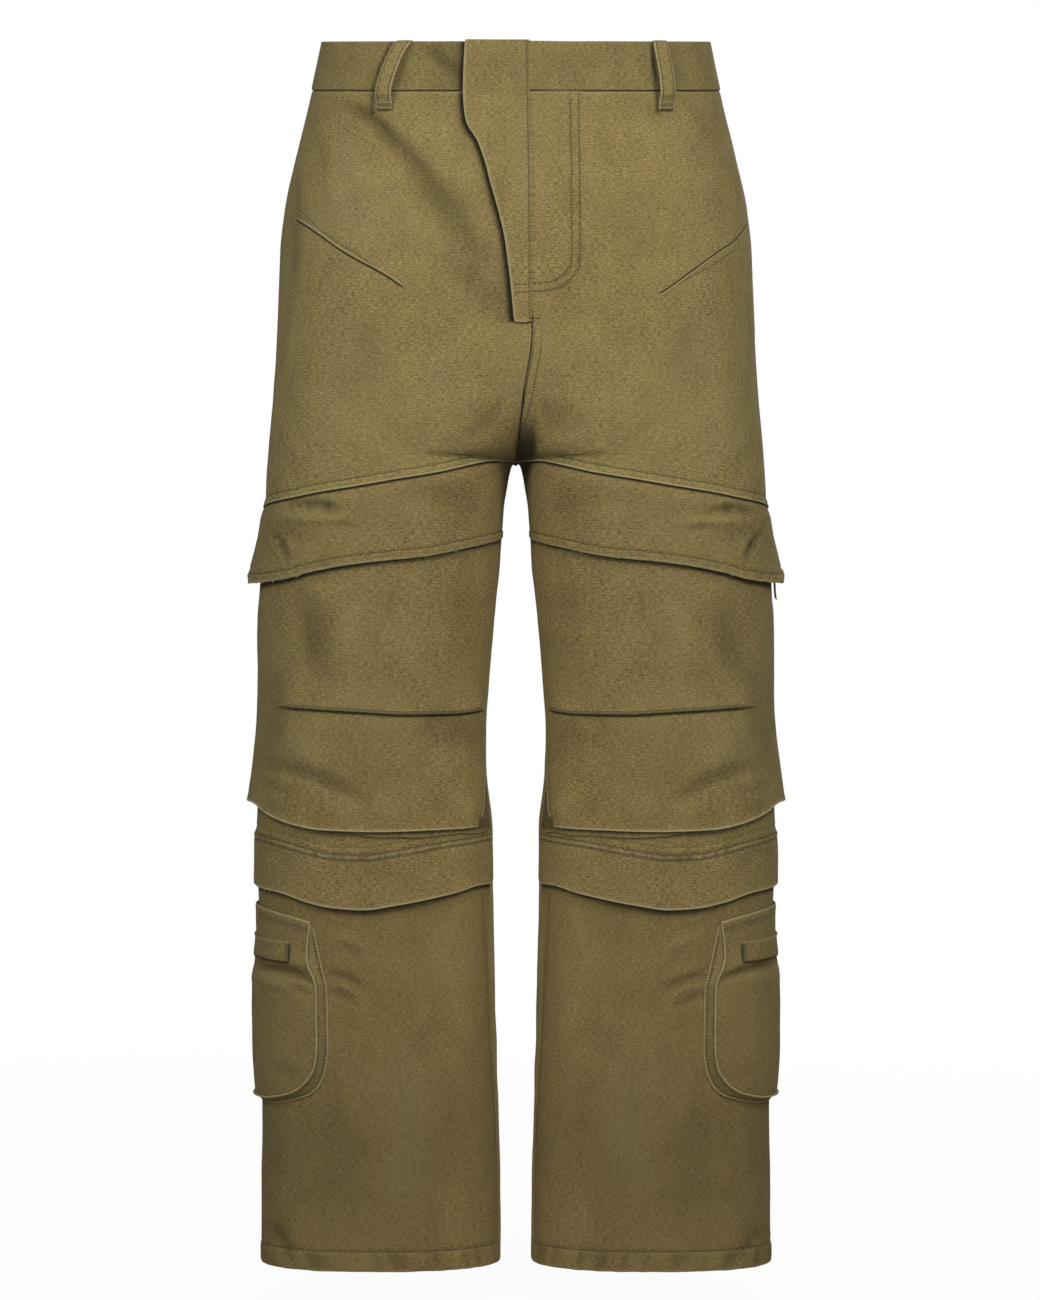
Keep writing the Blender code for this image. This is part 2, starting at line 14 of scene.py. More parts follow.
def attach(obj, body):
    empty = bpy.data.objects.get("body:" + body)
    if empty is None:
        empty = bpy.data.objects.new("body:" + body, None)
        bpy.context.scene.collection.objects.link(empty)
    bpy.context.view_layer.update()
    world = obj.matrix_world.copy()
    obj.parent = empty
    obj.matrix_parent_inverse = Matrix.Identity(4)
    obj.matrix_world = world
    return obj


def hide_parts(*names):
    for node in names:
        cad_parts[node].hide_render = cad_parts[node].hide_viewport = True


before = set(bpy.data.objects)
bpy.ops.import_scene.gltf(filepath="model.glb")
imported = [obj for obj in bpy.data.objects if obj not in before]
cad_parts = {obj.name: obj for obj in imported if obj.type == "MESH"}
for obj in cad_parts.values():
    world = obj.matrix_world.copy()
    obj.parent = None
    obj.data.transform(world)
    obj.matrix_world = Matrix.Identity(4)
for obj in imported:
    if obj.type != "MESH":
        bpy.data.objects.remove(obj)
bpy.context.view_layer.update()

# ------------------------------------------------------------------------------------ backs
# The backs are one long panel each from the band to the hem, in a single layer of canvas, seamed
# at the centre, the side and the inside of the leg. They carry the body form, on which every
# other piece lies: sections of a general figure, whose heights and reaches are worked out here.
MM = 0.001
COARSE = 1.0
SIDES = {"right": -1, "left": 1}
HEM = -1053.0
CROTCH = -364.0
FORK_RISE = 90.0            # the height over which the fork rounds down to nothing
FORK_POWER = 2.6
OUTER_POWER = 2.45          # how squarely a section turns at its outside and its inside
INNER_POWER = 2.3
FLAT_POWER = 8
BAND_HEIGHT = 43.0
FRONT_TILT = 0.165          # the waist's edge drops forwards and rises backwards by these slopes
BACK_TILT = 0.075
# How far a section reaches to the side, forwards and backwards, where its outer and inner quarters
# meet, how far it stays from the middle, and how much of that is lost where it is flatter.
FORM_COLUMNS = ("z", "side", "front", "back", "mid", "gap", "flat")
FORM = (
    (20, 163.0, 99.0, 104.0, 29, 0.2, 0.0),
    (0, 166.5, 101.0, 106.0, 30, 0.2, 0.0),
    (-43, 175.5, 107.0, 113.0, 32, 0.2, 0.0),
    (-77, 183.5, 111.0, 120.0, 35, 0.2, 0.0),
    (-112, 192.0, 114.0, 127.0, 40, 0.2, 0.0),
    (-146, 199.0, 117.0, 133.0, 47, 0.2, 0.0),
    (-181, 203.0, 119.0, 137.0, 56, 0.2, 0.0),
    (-216, 204.5, 120.0, 138.0, 65, 0.2, 0.0),
    (-285, 207.5, 118.0, 134.0, 83, 0.2, 0.0),
    (-354, 213.5, 114.0, 124.0, 102, 0.2, 0.0),
    (-364, 214.2, 113.3, 122.2, 104, 0.5, 0.0),
    (-366, 214.4, 113.2, 121.8, 104, 4.4, 3.6),
    (-371, 214.7, 113.0, 121.0, 105, 7.7, 6.2),
    (-388, 215.5, 112.0, 118.0, 108, 10.7, 6.2),
    (-405, 216.0, 110.0, 115.0, 110, 13.0, 5.5),
    (-440, 217.4, 107.5, 110.0, 113, 14.6, 1.8),
    (-492, 219.0, 104.0, 104.0, 117, 18.9, 0.4),
    (-562, 219.5, 99.0, 97.0, 120, 23.9, 0.0),
    (-596, 221.0, 97.0, 94.0, 122, 25.9, 0.0),
    (-631, 222.5, 95.0, 91.0, 122, 25.2, 0.0),
    (-683, 224.0, 92.0, 88.0, 121, 20.0, 0.0),
    (-735, 222.5, 88.0, 85.0, 120, 19.8, 0.0),
    (-787, 220.5, 84.0, 82.0, 119, 18.6, 0.0),
    (-856, 219.0, 80.0, 79.0, 118, 17.3, 0.0),
    (-925, 218.8, 77.0, 76.0, 117, 15.1, 0.0),
    (-994, 219.7, 75.0, 75.0, 116, 13.5, 0.0),
    (-1080, 219.7, 74.0, 74.0, 116, 13.0, 0.0),
)
# The centre seam's shift sideways, and the stations of the side seams and the inseam.
SEAM_COLUMNS = ("z", "centre_x", "right_station", "left_station", "inseam_station")
SEAMS = (
    (20, 11.0, 0.02, -0.10, 2.00),
    (-60, 12.0, 0.04, -0.10, 2.00),
    (-110, 12.8, 0.11, -0.10, 2.00),
    (-150, 13.3, 0.20, -0.10, 2.00),
    (-175, 13.5, 0.20, -0.07, 2.00),
    (-200, 13.7, 0.12, -0.05, 2.00),
    (-250, 13.8, 0.05, -0.02, 2.00),
    (-275, 12.5, 0.02, 0.00, 2.00),
    (-300, 8.0, 0.00, 0.00, 2.00),
    (-325, 5.0, 0.00, 0.00, 2.00),
    (-352, 2.0, 0.00, 0.00, 2.00),
    (-364, 0.5, 0.00, 0.00, 2.00),
    (-420, 0.0, 0.00, 0.00, 1.98),
    (-480, 0.0, 0.00, 0.00, 1.93),
    (-560, 0.0, 0.00, 0.00, 1.90),
    (-700, 0.0, 0.00, 0.00, 1.86),
    (-790, 0.0, 0.00, 0.00, 1.78),
    (-860, 0.0, 0.00, 0.00, 1.80),
    (-940, 0.0, 0.00, 0.00, 1.86),
    (-1080, 0.0, 0.00, 0.00, 1.86),
)


def column(rows, columns, name):
    """One named column of a table, as an array."""
    return np.array([row[columns.index(name)] for row in rows], float)


def along(rows, columns, name, where):
    """Read a column at any place: a cubic through the rows that never overshoots them."""
    places, values = column(rows, columns, columns[0]), column(rows, columns, name)
    order = np.argsort(places)
    places, values = places[order], values[order]
    step = np.diff(places)
    slope = np.diff(values) / step
    product = slope[1:] * slope[:-1]
    total = np.where(product > 0, slope[1:] + slope[:-1], 1)
    tangent = np.concatenate(([slope[0]], np.where(product > 0, 2 * product / total, 0), [slope[-1]]))
    where = np.clip(where, places[0], places[-1])
    cell = np.clip(np.searchsorted(places, where) - 1, 0, len(step) - 1)
    s = (where - places[cell]) / step[cell]
    return (
        (2 * s**3 - 3 * s**2 + 1) * values[cell]
        + (s**3 - 2 * s**2 + s) * step[cell] * tangent[cell]
        + (3 * s**2 - 2 * s**3) * values[cell + 1]
        + (s**3 - s**2) * step[cell] * tangent[cell + 1]
    )


def form(name, z):
    """A reach of the form at a height."""
    return along(FORM, FORM_COLUMNS, name, z)


def seam(name, z):
    """A seam's place at a height."""
    return along(SEAMS, SEAM_COLUMNS, name, z)


def quarter(share, power):
    """A quarter of a squared-off circle, from (1, 0) to (0, 1): x^power + y^power = 1."""
    angle = np.clip(share, 0, 1) * np.pi / 2
    c, s = np.clip(np.cos(angle), 0, 1), np.sin(angle)
    reach = (c**power + s**power) ** (-1 / power)
    return reach * c, reach * s


def on_form(side, station, z):
    """Point of the form: station 0 at the side, +-1 foremost and hindmost, +-2 at the inside.

    Both quarters of a section are squared-off ellipses, and above the crotch the inner one ends
    at the depth of the fork, which rounds down to nothing at the crotch.
    """
    station = (station + 2) % 4 - 2
    ahead = station >= 0
    depth = np.where(ahead, form("front", z), form("back", z))
    mid = form("mid", z)
    turn = np.where(ahead, side, -side) * seam("centre_x", z)
    inner = np.where(z > CROTCH, turn + form("gap", z), form("gap", z))
    outer_x, outer_y = quarter(np.abs(station), OUTER_POWER)
    inner_x, inner_y = quarter(2 - np.abs(station), INNER_POWER)
    inner = inner - form("flat", z) * (1 - inner_x**FLAT_POWER)
    rise = np.clip((z - CROTCH) / FORK_RISE, 0, 1)
    at_fork = depth * (1 - (1 - rise) ** FORK_POWER) ** (1 / FORK_POWER)
    outside = np.abs(station) <= 1
    x = np.where(outside, mid + (form("side", z) - mid) * outer_x, mid - (mid - inner) * inner_x)
    y = np.where(outside, depth * outer_y, at_fork + (depth - at_fork) * inner_y)
    return np.stack((side * x, np.where(ahead, -y, y), z + 0 * x), axis=-1)


GIRTH_STEPS = 161
LEVEL_STEP = 1.5
LEVELS = np.arange(HEM - 27, 20, LEVEL_STEP)


def girth_map(side, way):
    """Stations at even shares of the true length round the section, for a ladder of heights."""
    fine = np.linspace(0, 1, GIRTH_STEPS)
    start = seam("left_station" if side > 0 else "right_station", LEVELS)
    reach = seam("inseam_station", LEVELS)
    end = reach if way > 0 else reach - 4
    stations = start[:, None] + (end - start)[:, None] * fine
    inside = np.where(LEVELS[:, None] > CROTCH, np.clip(stations, -2, 1.9999), stations)
    points = on_form(side, inside, LEVELS[:, None])
    steps = np.linalg.norm(np.diff(points, axis=1), axis=-1)
    length = np.concatenate((np.zeros((len(LEVELS), 1)), np.cumsum(steps, axis=1)), axis=1)
    share = length / length[:, -1:]
    return np.array([np.interp(fine, share[i], stations[i]) for i in range(len(LEVELS))])


GIRTH_MAPS = {(side, way): girth_map(side, way) for side in (-1, 1) for way in (1, -1)}


def station_at(side, girth, z):
    """Turn a girth, a share of the section's true length, into a station of the form."""
    found = np.zeros(girth.shape)
    for way in (1, -1):
        table = GIRTH_MAPS[side, way]
        down = np.clip((z - LEVELS[0]) / LEVEL_STEP, 0, len(LEVELS) - 1.001)
        over = np.clip(np.abs(girth), 0, 1) * (table.shape[1] - 1.001)
        i, j = down.astype(int), over.astype(int)
        s, t = down - i, over - j
        low = table[i, j] * (1 - t) + table[i, j + 1] * t
        high = table[i + 1, j] * (1 - t) + table[i + 1, j + 1] * t
        found = np.where(girth * way >= 0, low * (1 - s) + high * s, found)
    return found


def unit(vectors):
    """Vectors of length one."""
    return vectors / np.maximum(np.linalg.norm(vectors, axis=-1, keepdims=True), 1e-9)


STATION_NUDGE = 0.004
HEIGHT_NUDGE = 0.4


def outward(side, station, z):
    """Unit normal of the form, from small steps that stay on one side of crotch and fork."""
    above = z > CROTCH
    station = np.where(above, np.clip(station, -1.99, 1.99), station)
    ahead = on_form(side, station + STATION_NUDGE, z) - on_form(side, station - STATION_NUDGE, z)
    low = np.where(above, np.maximum(z - HEIGHT_NUDGE, CROTCH + 0.01), z - HEIGHT_NUDGE)
    high = np.where(above, z + HEIGHT_NUDGE, np.minimum(z + HEIGHT_NUDGE, CROTCH - 0.01))
    up = on_form(side, station, high) - on_form(side, station, low)
    return unit(side * np.cross(up, ahead))


def waist_edge(side, girths):
    """Height of the waist's top edge: a plane that drops forwards and rises backwards."""
    level = np.zeros_like(girths)
    depth = on_form(side, station_at(side, girths, level), level)[..., 1]
    return np.where(depth < 0, FRONT_TILT, BACK_TILT) * depth


def near(distance, place, width):
    """A bell of a width at a distance: exp(-q^2), where q counts widths from the place."""
    return np.exp(-(((distance - place) / width) ** 2))


def ease(t):
    """Smooth step from 0 to 1: 3t^2 - 2t^3."""
    t = np.clip(t, 0, 1)
    return t * t * (3 - 2 * t)


SWELL_ROWS, SWELL_COLUMNS = 97, 89


def swell(u, v, size, seed):
    """Smooth random swelling between -1 and 1.

    Values drawn at the corners of squares of a size are blended by the smooth step.
    """
    corners = np.random.default_rng(seed).uniform(-1, 1, (SWELL_ROWS, SWELL_COLUMNS))
    x, y = np.broadcast_arrays(np.asarray(u, float) / size, np.asarray(v, float) / size)
    i, j = np.floor(x).astype(int), np.floor(y).astype(int)
    s, t = ease(x - i), ease(y - j)
    i, j, after_i, after_j = i % SWELL_ROWS, j % SWELL_COLUMNS, (i + 1) % SWELL_ROWS, (j + 1) % SWELL_COLUMNS
    low = corners[i, j] * (1 - s) + corners[after_i, j] * s
    high = corners[i, after_j] * (1 - s) + corners[after_i, after_j] * s
    return low * (1 - t) + high * t


def rumple(u, v, seed, amount=1.0):
    """Washed cloth never lies quite flat: wide, middling and small swellings added together."""
    wide = 0.55 * swell(u, v, 58, seed) + 0.30 * swell(u + 0.4 * v, v, 27, seed + 1)
    small = 0.13 * swell(u - 0.3 * v, v, 12, seed + 2) + 0.05 * swell(u, v, 5.5, seed + 3)
    return amount * (wide + small)


def creases(x, z, rows):
    """Soft troughs (negative depth) and ridges along bowed lines, seen from the front.

    Every row of a table of creases is x0, z0, x1, z1, bow, width, depth, lean.
    A line runs between its ends and bows sideways by a parabola. Across it the height is a bell,
    exp(-q^2), where q is the distance in widths; lean adds the bell's own slope, so that one bank
    stands higher. Along it the height swells from nothing at one end to nothing at the other.
    """
    height = np.zeros(x.shape)
    for x0, z0, x1, z1, bow, width, depth, lean in rows:
        run = np.hypot(x1 - x0, z1 - z0)
        ex, ez = (x1 - x0) / run, (z1 - z0) / run
        t = ((x - x0) * ex + (z - z0) * ez) / run
        inside = np.clip(t, 0, 1)
        q = ((x - x0) * -ez + (z - z0) * ex - bow * 4 * inside * (1 - inside)) / width
        fade = np.sin(np.pi * inside) ** 0.8
        height = height + depth * fade * np.exp(-(q**2)) * (1 + 2 * lean * q)
    return height


def folds(piece, rows, scale=1.0):
    """The creases of a piece, kept so that their troughs get painted shade and ridges painted highlight."""
    piece["fold"] = scale * creases(piece["base"][..., 0], piece["base"][..., 2], rows)
    return piece["fold"]


def keep_above(stand, least):
    """Bend stand-offs smoothly so that none lies below the least."""
    return least + 0.4 * np.log1p(np.exp(np.clip((stand - least) / 0.4, -30, 30)))


def spread(length, pitch, head=(), foot=()):
    """Places along a length, as shares of it and offsets in millimetres.

    Fixed distances from its start, even steps, then fixed distances from its end, so that rows
    lie close together where an edge or a row of stitches needs them.
    """
    head, foot = np.array(head, float), np.array(foot, float)
    first, last = (head[-1] if len(head) else 0), (foot[-1] if len(foot) else 0)
    count = max(2, int(round((length - first - last) / (pitch * COARSE))))
    t = np.linspace(0, 1, count + 1)
    t = t[1 if len(head) else 0 : -1 if len(foot) else None]
    share = np.concatenate((np.zeros(len(head)), t, np.ones(len(foot))))
    offset = np.concatenate((head, first * (1 - t) - last * t, -foot[::-1]))
    return share, offset


EDGE_ROWS = (0, 0.25, 0.6, 1.1, 1.8, 2.8)
SEAM_DIP = 0.9              # how deep the cloth is drawn in at its seams
LEG_ROUND = 275.0           # about the length round half a leg, and so of one girth
HIP_ROUND = 262.0
SHIN_ROUND = 270.0


def lay_out(side, ends, top, bottom, length, across, down):
    """The grid of a panel of cloth, laid on the form.

    It runs between two ends, girths or functions of height, and between two edges, functions of
    girth. across and down are (pitch, head, foot) for spread, and length is one girth's length.
    """
    first, last = (end if callable(end) else (lambda z, end=end: end + 0 * z) for end in ends)
    middle = np.array(float(np.mean(top(np.array((0.5,))) + bottom(np.array((0.5,))))) / 2)
    a, b = first(middle), last(middle)
    share, offset = spread(length * float(abs(b - a)), *across)
    nominal = a + (b - a) * share + np.sign(b - a) * offset / length
    upper, lower = top(nominal), bottom(nominal)
    share_down, offset_down = spread(float(np.mean(upper - lower)), *down)
    heights = upper[:, None] * (1 - share_down) + lower[:, None] * share_down - offset_down
    a, b = first(heights), last(heights)
    girths = a + (b - a) * share[:, None] + np.sign(b - a) * offset[:, None] / length
    return measured(side, girths, heights)


def measured(side, girths, heights):
    """A grid's points on the form, the form's outward normal there, and distances to its borders."""
    station = station_at(side, girths, heights)
    base = on_form(side, station, heights)
    return with_borders({
        "side": side,
        "girth": girths,
        "height": heights,
        "base": base,
        "away": outward(side, station, heights),
        "u": girths * LEG_ROUND,
    })


def border_distances(points):
    """Distances along the cloth to a grid's start, end, top and foot."""
    across = np.cumsum(np.linalg.norm(np.diff(points, axis=0, prepend=points[:1]), axis=-1), axis=0)
    down = np.cumsum(np.linalg.norm(np.diff(points, axis=1, prepend=points[:, :1]), axis=-1), axis=1)
    return across, across[-1:] - across, down, down[:, -1:] - down


def with_borders(piece):
    """Keep a piece's distances to its borders, along the form."""
    piece.update(zip(("from_start", "from_end", "from_top", "from_foot"), border_distances(piece["base"])))
    return piece


def raise_up(piece, stand):
    """Move a piece's points out from the form by their stand-off."""
    points = piece["base"] + stand[..., None] * piece["away"]
    normal = unit(np.cross(np.gradient(points, axis=0), np.gradient(points, axis=1)))
    piece["points"] = points
    piece["normal"] = normal * np.sign(np.sum(normal * piece["away"]))


def at_seams(piece, width, *borders):
    """How near the cloth is to the seams along its borders."""
    return sum(near(piece[border], 0, width) for border in borders)


def level(height):
    """An edge that runs level, as a function of girth."""
    return lambda girths: np.full_like(girths, height)


def under_band(side):
    """The seam under the band, as a function of girth."""
    return lambda girths: waist_edge(side, girths) - BAND_HEIGHT - 0.2


def new_mesh(name, points, faces, finish):
    """A smooth-shaded object from arrays of points, in millimetres, and four-sided faces."""
    mesh = bpy.data.meshes.new(name)
    mesh.vertices.add(len(points))
    mesh.vertices.foreach_set("co", (points * MM).astype(np.float32).ravel())
    mesh.loops.add(faces.size)
    mesh.loops.foreach_set("vertex_index", faces.astype(np.int32).ravel())
    mesh.polygons.add(len(faces))
    mesh.polygons.foreach_set("loop_start", np.arange(0, faces.size, faces.shape[1], dtype=np.int32))
    mesh.polygons.foreach_set("use_smooth", np.ones(len(faces), bool))
    mesh.update(calc_edges=True)
    mesh.materials.append(finish)
    made = bpy.data.objects.new(name, mesh)
    bpy.context.scene.collection.objects.link(made)
    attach(made, "root")
    return made


def paint(made, name, values):
    """Keep a number for each point, which the finish reads."""
    layer = made.data.attributes.new(name, "FLOAT", "POINT")
    layer.data.foreach_set("value", np.asarray(values, np.float32).ravel())


def lay_map(made, places, faces):
    """Give each point its place on the flat cloth."""
    layer = made.data.uv_layers.new(name="cloth")
    layer.data.foreach_set("uv", (places * MM)[faces.ravel()].astype(np.float32).ravel())


def lit_and_faded_inside(piece):
    """Painted light on the legs' insides, standing also for their fading: a smooth step of the girth."""
    below = np.clip((CROTCH + 10 - piece["base"][..., 2]) / 30, 0, 1)
    return ease((np.abs(piece["girth"]) - 0.68) / 0.16) * below


# Painted shade on the lining, the inner face of every piece of cloth.
LINING_SHADE = 0.25         # the least shade inside


def sew(name, piece, finish, thickness=1.4, rim=1.0, wear_and_highlight=0.0, shade=0.0, node=None):
    """Make a piece of cloth from its grid of outer points.

    The wall hangs inside them. Its two faces lie half a thickness times (1 - c) and (1 + c) deep,
    where c = sqrt(1 - (1 - d / rim)^2) at a distance d from the border, so they meet there in a
    rounded edge.
    """
    points, normal = piece["points"], piece["normal"]
    fold = piece.get("fold", 0)
    rows = points.shape[1]
    reach = np.clip(np.min(border_distances(points), axis=0) / rim, 0, 1)
    reach[[0, -1], :] = 0
    reach[:, [0, -1]] = 0
    c = np.sqrt(1 - (1 - reach) ** 2)[..., None]
    outer = points - normal * thickness / 2 * (1 - c)
    inner = points - normal * thickness / 2 * (1 + c)
    skin = np.arange(points.shape[0] * rows).reshape(points.shape[:2])
    lining = skin.copy()
    lining[1:-1, 1:-1] = skin.size + np.arange((skin.shape[0] - 2) * (rows - 2)).reshape(-1, rows - 2)

    def quads(grid):
        corners = (grid[:-1, :-1], grid[1:, :-1], grid[1:, 1:], grid[:-1, 1:])
        return np.stack(corners, axis=-1).reshape(-1, 4)

    def both(values, least=-np.inf):
        values = np.broadcast_to(values, skin.shape)
        return np.concatenate((values.ravel(), np.maximum(values, least)[1:-1, 1:-1].ravel()))

    faces = np.concatenate((quads(skin), quads(lining)[:, ::-1]))
    if np.sum(np.cross(np.diff(points, axis=0)[:, :-1], np.diff(points, axis=1)[:-1]) * normal[:-1, :-1]) < 0:
        faces = faces[:, ::-1]
    corners = np.concatenate((outer.reshape(-1, 3), inner[1:-1, 1:-1].reshape(-1, 3)))
    piece["skin"] = (corners, faces)
    made = new_mesh(name, corners, faces, finish)
    # Crease ridges get a little painted highlight and their troughs painted shade; the lining gets at least
    # LINING_SHADE of painted shade.
    paint(made, "wear_and_highlight", np.clip(both(wear_and_highlight + 0.06 * np.clip(fold, 0, 2)), 0, 1))
    paint(made, "lit_and_faded", both(lit_and_faded_inside(piece)))
    paint(made, "shade", np.clip(both(shade + 0.12 * np.clip(-fold, 0, 4), LINING_SHADE), 0, 1))
    lay_map(made, np.stack((both(piece["u"]), both(piece["height"])), axis=-1), faces)
    if node is None:
        node = name.removesuffix("_cloth")
    if node:
        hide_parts(node)


def plug(tree, value, socket):
    """Link another socket to a socket, or give it a plain value."""
    if isinstance(value, bpy.types.NodeSocket):
        tree.links.new(value, socket)
    else:
        socket.default_value = value


def add_node(tree, kind, inputs=(), **settings):
    """Add a shader node: settings are its properties, inputs pairs of socket and value or link."""
    node = tree.nodes.new(kind)
    for key, value in settings.items():
        setattr(node, key, value)
    for socket, value in inputs:
        plug(tree, value, node.inputs[socket])
    return node


def tint(tree, colour, factor, other, blend="MIX"):
    """Blend two colours, sockets or plain values, by a factor."""
    inputs = [(0, factor), (6, colour), (7, other)]
    return add_node(tree, "ShaderNodeMix", inputs, data_type="RGBA", blend_type=blend).outputs[2]


def new_finish(name):
    """A new material, its tree of nodes and its shader."""
    material = bpy.data.materials.new(name)
    material.use_nodes = True
    return material, material.node_tree, material.node_tree.nodes["Principled BSDF"]


THREAD_PITCH = 0.62         # from one thread of the weave to the next
RIB_PITCH = 2.5             # from one thicker weft to the next


def canvas(name, colour, pale=(0.40, 0.355, 0.185, 1), grain=1.0):
    """Washed cotton canvas, read from the piece's own map in metres.

    Plain weave: over-and-under threads are the larger of two sines' heights, swapped in every
    other square. Slubs are long thick stretches of thread both ways, and the dye is uneven in
    soft clouds. Edges that rub are pale, and ridges are painted pale too: painted highlight. The
    insides of the legs are painted paler: painted light, which stands also for their fading.
    Seams, creases and the cloth under edges are painted dark: painted shade.
    """
    material, tree, shader = new_finish(name)
    spot = add_node(tree, "ShaderNodeUVMap", uv_map="cloth").outputs[0]

    def work(operation, *values):
        return add_node(tree, "ShaderNodeMath", enumerate(values), operation=operation).outputs[0]

    def noise(stretch, detail, offset=0.0):
        placing = [(0, spot), (1, (offset, offset, 0)), (3, (*stretch, 1))]
        moved = add_node(tree, "ShaderNodeMapping", placing).outputs[0]
        inputs = [("Vector", moved), ("Scale", 1.0), ("Detail", detail), ("Roughness", 0.6)]
        return add_node(tree, "ShaderNodeTexNoise", inputs, noise_dimensions="2D").outputs[0]

    def painted(name):
        return add_node(tree, "ShaderNodeAttribute", attribute_name=name).outputs["Fac"]

    split = add_node(tree, "ShaderNodeSeparateXYZ", [(0, spot)]).outputs
    waves = [work("SINE", work("MULTIPLY", split[i], np.pi / (THREAD_PITCH * MM))) for i in (0, 1)]
    over = work("GREATER_THAN", work("MULTIPLY", *waves), 0.0)
    heights = [work("ABSOLUTE", wave) for wave in waves]
    weave = add_node(tree, "ShaderNodeMix", [(0, over), (2, heights[0]), (3, heights[1])]).outputs[0]
    warp = noise((1000, 300), 1.0)
    weft = noise((270, 1000), 1.0, offset=3.7)
    flecks = noise((950, 950), 1.0, offset=1.3)
    clouds = noise((50, 36), 1.5)
    drift = noise((11, 8), 2.0, offset=9.1)
    crepe = noise((170, 130), 3.0, offset=5.5)

    slubs = work("ADD", work("MULTIPLY", warp, 0.36), work("MULTIPLY", weft, 0.54))
    slubs = work("MULTIPLY_ADD", flecks, 0.20, slubs)
    # Every fourth weft is thicker, where the cloud over it lets it show.
    rib = work("SINE", work("MULTIPLY", split[1], 2 * np.pi / (RIB_PITCH * MM)))
    slubs = work("MULTIPLY_ADD", work("MULTIPLY", rib, clouds), 0.04, slubs)
    # The strengths below leave the mean tone near one, whatever the grain.
    tone = 0.65 - 1.405 * grain
    for source, strength in ((slubs, 2.45 * grain), (clouds, 0.36 * grain), (drift, 0.26), (weave, 0.16)):
        tone = work("MULTIPLY_ADD", source, strength, tone)
    # Painted light: the insides of the legs are lighter, which stands also for their fading.
    tone = work("MULTIPLY", tone, work("MULTIPLY_ADD", painted("lit_and_faded"), 0.28, 1.0))
    toned = add_node(tree, "ShaderNodeCombineXYZ", [(i, tone) for i in range(3)]).outputs[0]
    base = tint(tree, colour, 1.0, toned, "MULTIPLY")
    # The dye has worn a little greener in some clouds and browner in others.
    cloudy = [("Value", drift), ("From Min", 0.42), ("From Max", 0.62)]
    green = add_node(tree, "ShaderNodeMapRange", cloudy).outputs[0]
    greener = (0.80 * colour[0], 0.93 * colour[1], 0.92 * colour[2], 1)
    base = tint(tree, base, work("MULTIPLY", green, 0.20), greener)
    # Painted shade: where the shade attribute is high, the colour darkens towards this, for the shade in
    # seams, creases and under edges.
    dark = (0.07 * colour[0], 0.065 * colour[1], 0.07 * colour[2], 1)
    base = tint(tree, base, work("MULTIPLY", painted("shade"), 0.94), dark)
    # Pale where edges are worn, and where ridges and rolled edges get a painted highlight.
    pale_mix = work("MULTIPLY", painted("wear_and_highlight"), work("MULTIPLY_ADD", flecks, 1.3, 0.15))
    relief = work("ADD", work("MULTIPLY", weave, 0.55), work("MULTIPLY", slubs, 1.6))
    threads = [("Strength", 0.55), ("Distance", 0.00016), ("Height", relief)]
    fine = add_node(tree, "ShaderNodeBump", threads).outputs[0]
    creped = [("Strength", 0.4), ("Distance", 0.001), ("Height", crepe), ("Normal", fine)]
    for socket, value in (
        ("Base Color", tint(tree, base, pale_mix, pale)),
        ("Roughness", 0.92),
        ("Specular IOR Level", 0.22),
        ("Sheen Weight", 0.06),
        ("Sheen Roughness", 0.5),
        ("Sheen Tint", (0.75, 0.72, 0.5, 1)),
        ("Normal", add_node(tree, "ShaderNodeBump", creped).outputs[0]),
    ):
        plug(tree, value, shader.inputs[socket])
    return material


OLIVE = (0.247, 0.188, 0.072, 1)
CANVAS = canvas("washed_canvas", OLIVE)
LEG_CANVAS = canvas("leg_canvas", (0.222, 0.165, 0.0635, 1))
# The shins' canvas is darker than the legs': painted shade, for the dimmer light low down.
SHIN_CANVAS = canvas("shin_canvas", (0.212, 0.153, 0.0585, 1), grain=0.76)

# Seat and leg creases behind, in the same columns as the fronts', for the wearer's left back.
BACK_CREASES = (
    (30, -300, 150, -345, -12, 15, -2.4, 0.2),
    (24, -328, 120, -392, -10, 12, -2.0, 0.1),
    (60, -250, 175, -262, -16, 20, 1.7, 0.0),
    (150, -120, 190, -185, 6, 12, -1.4, 0.2),
    (40, -140, 120, -205, 10, 24, 1.5, 0.0),
    (45, -600, 140, -622, -8, 10, -1.9, 0.3),
    (95, -628, 205, -604, 8, 11, -1.7, -0.2),
    (55, -655, 175, -668, -7, 9, -1.4, 0.2),
    (120, -585, 200, -560, 6, 13, 1.3, 0.0),
    (60, -700, 150, -725, 6, 14, -1.1, 0.0),
    (90, -470, 112, -560, 8, 18, -1.2, 0.0),
    (160, -440, 178, -540, -8, 20, 1.2, 0.0),
    (70, -820, 88, -960, 8, 22, -1.3, 0.0),
    (140, -860, 128, -1010, -6, 24, 1.3, 0.0),
    (100, -985, 190, -1012, 5, 14, -0.9, 0.0),
)
BACK_TWIST = 23             # shifts one back's creases, so that the two sides differ
HEM_STITCH = 17.2           # how far above the hem its row of stitches runs
backs = {}
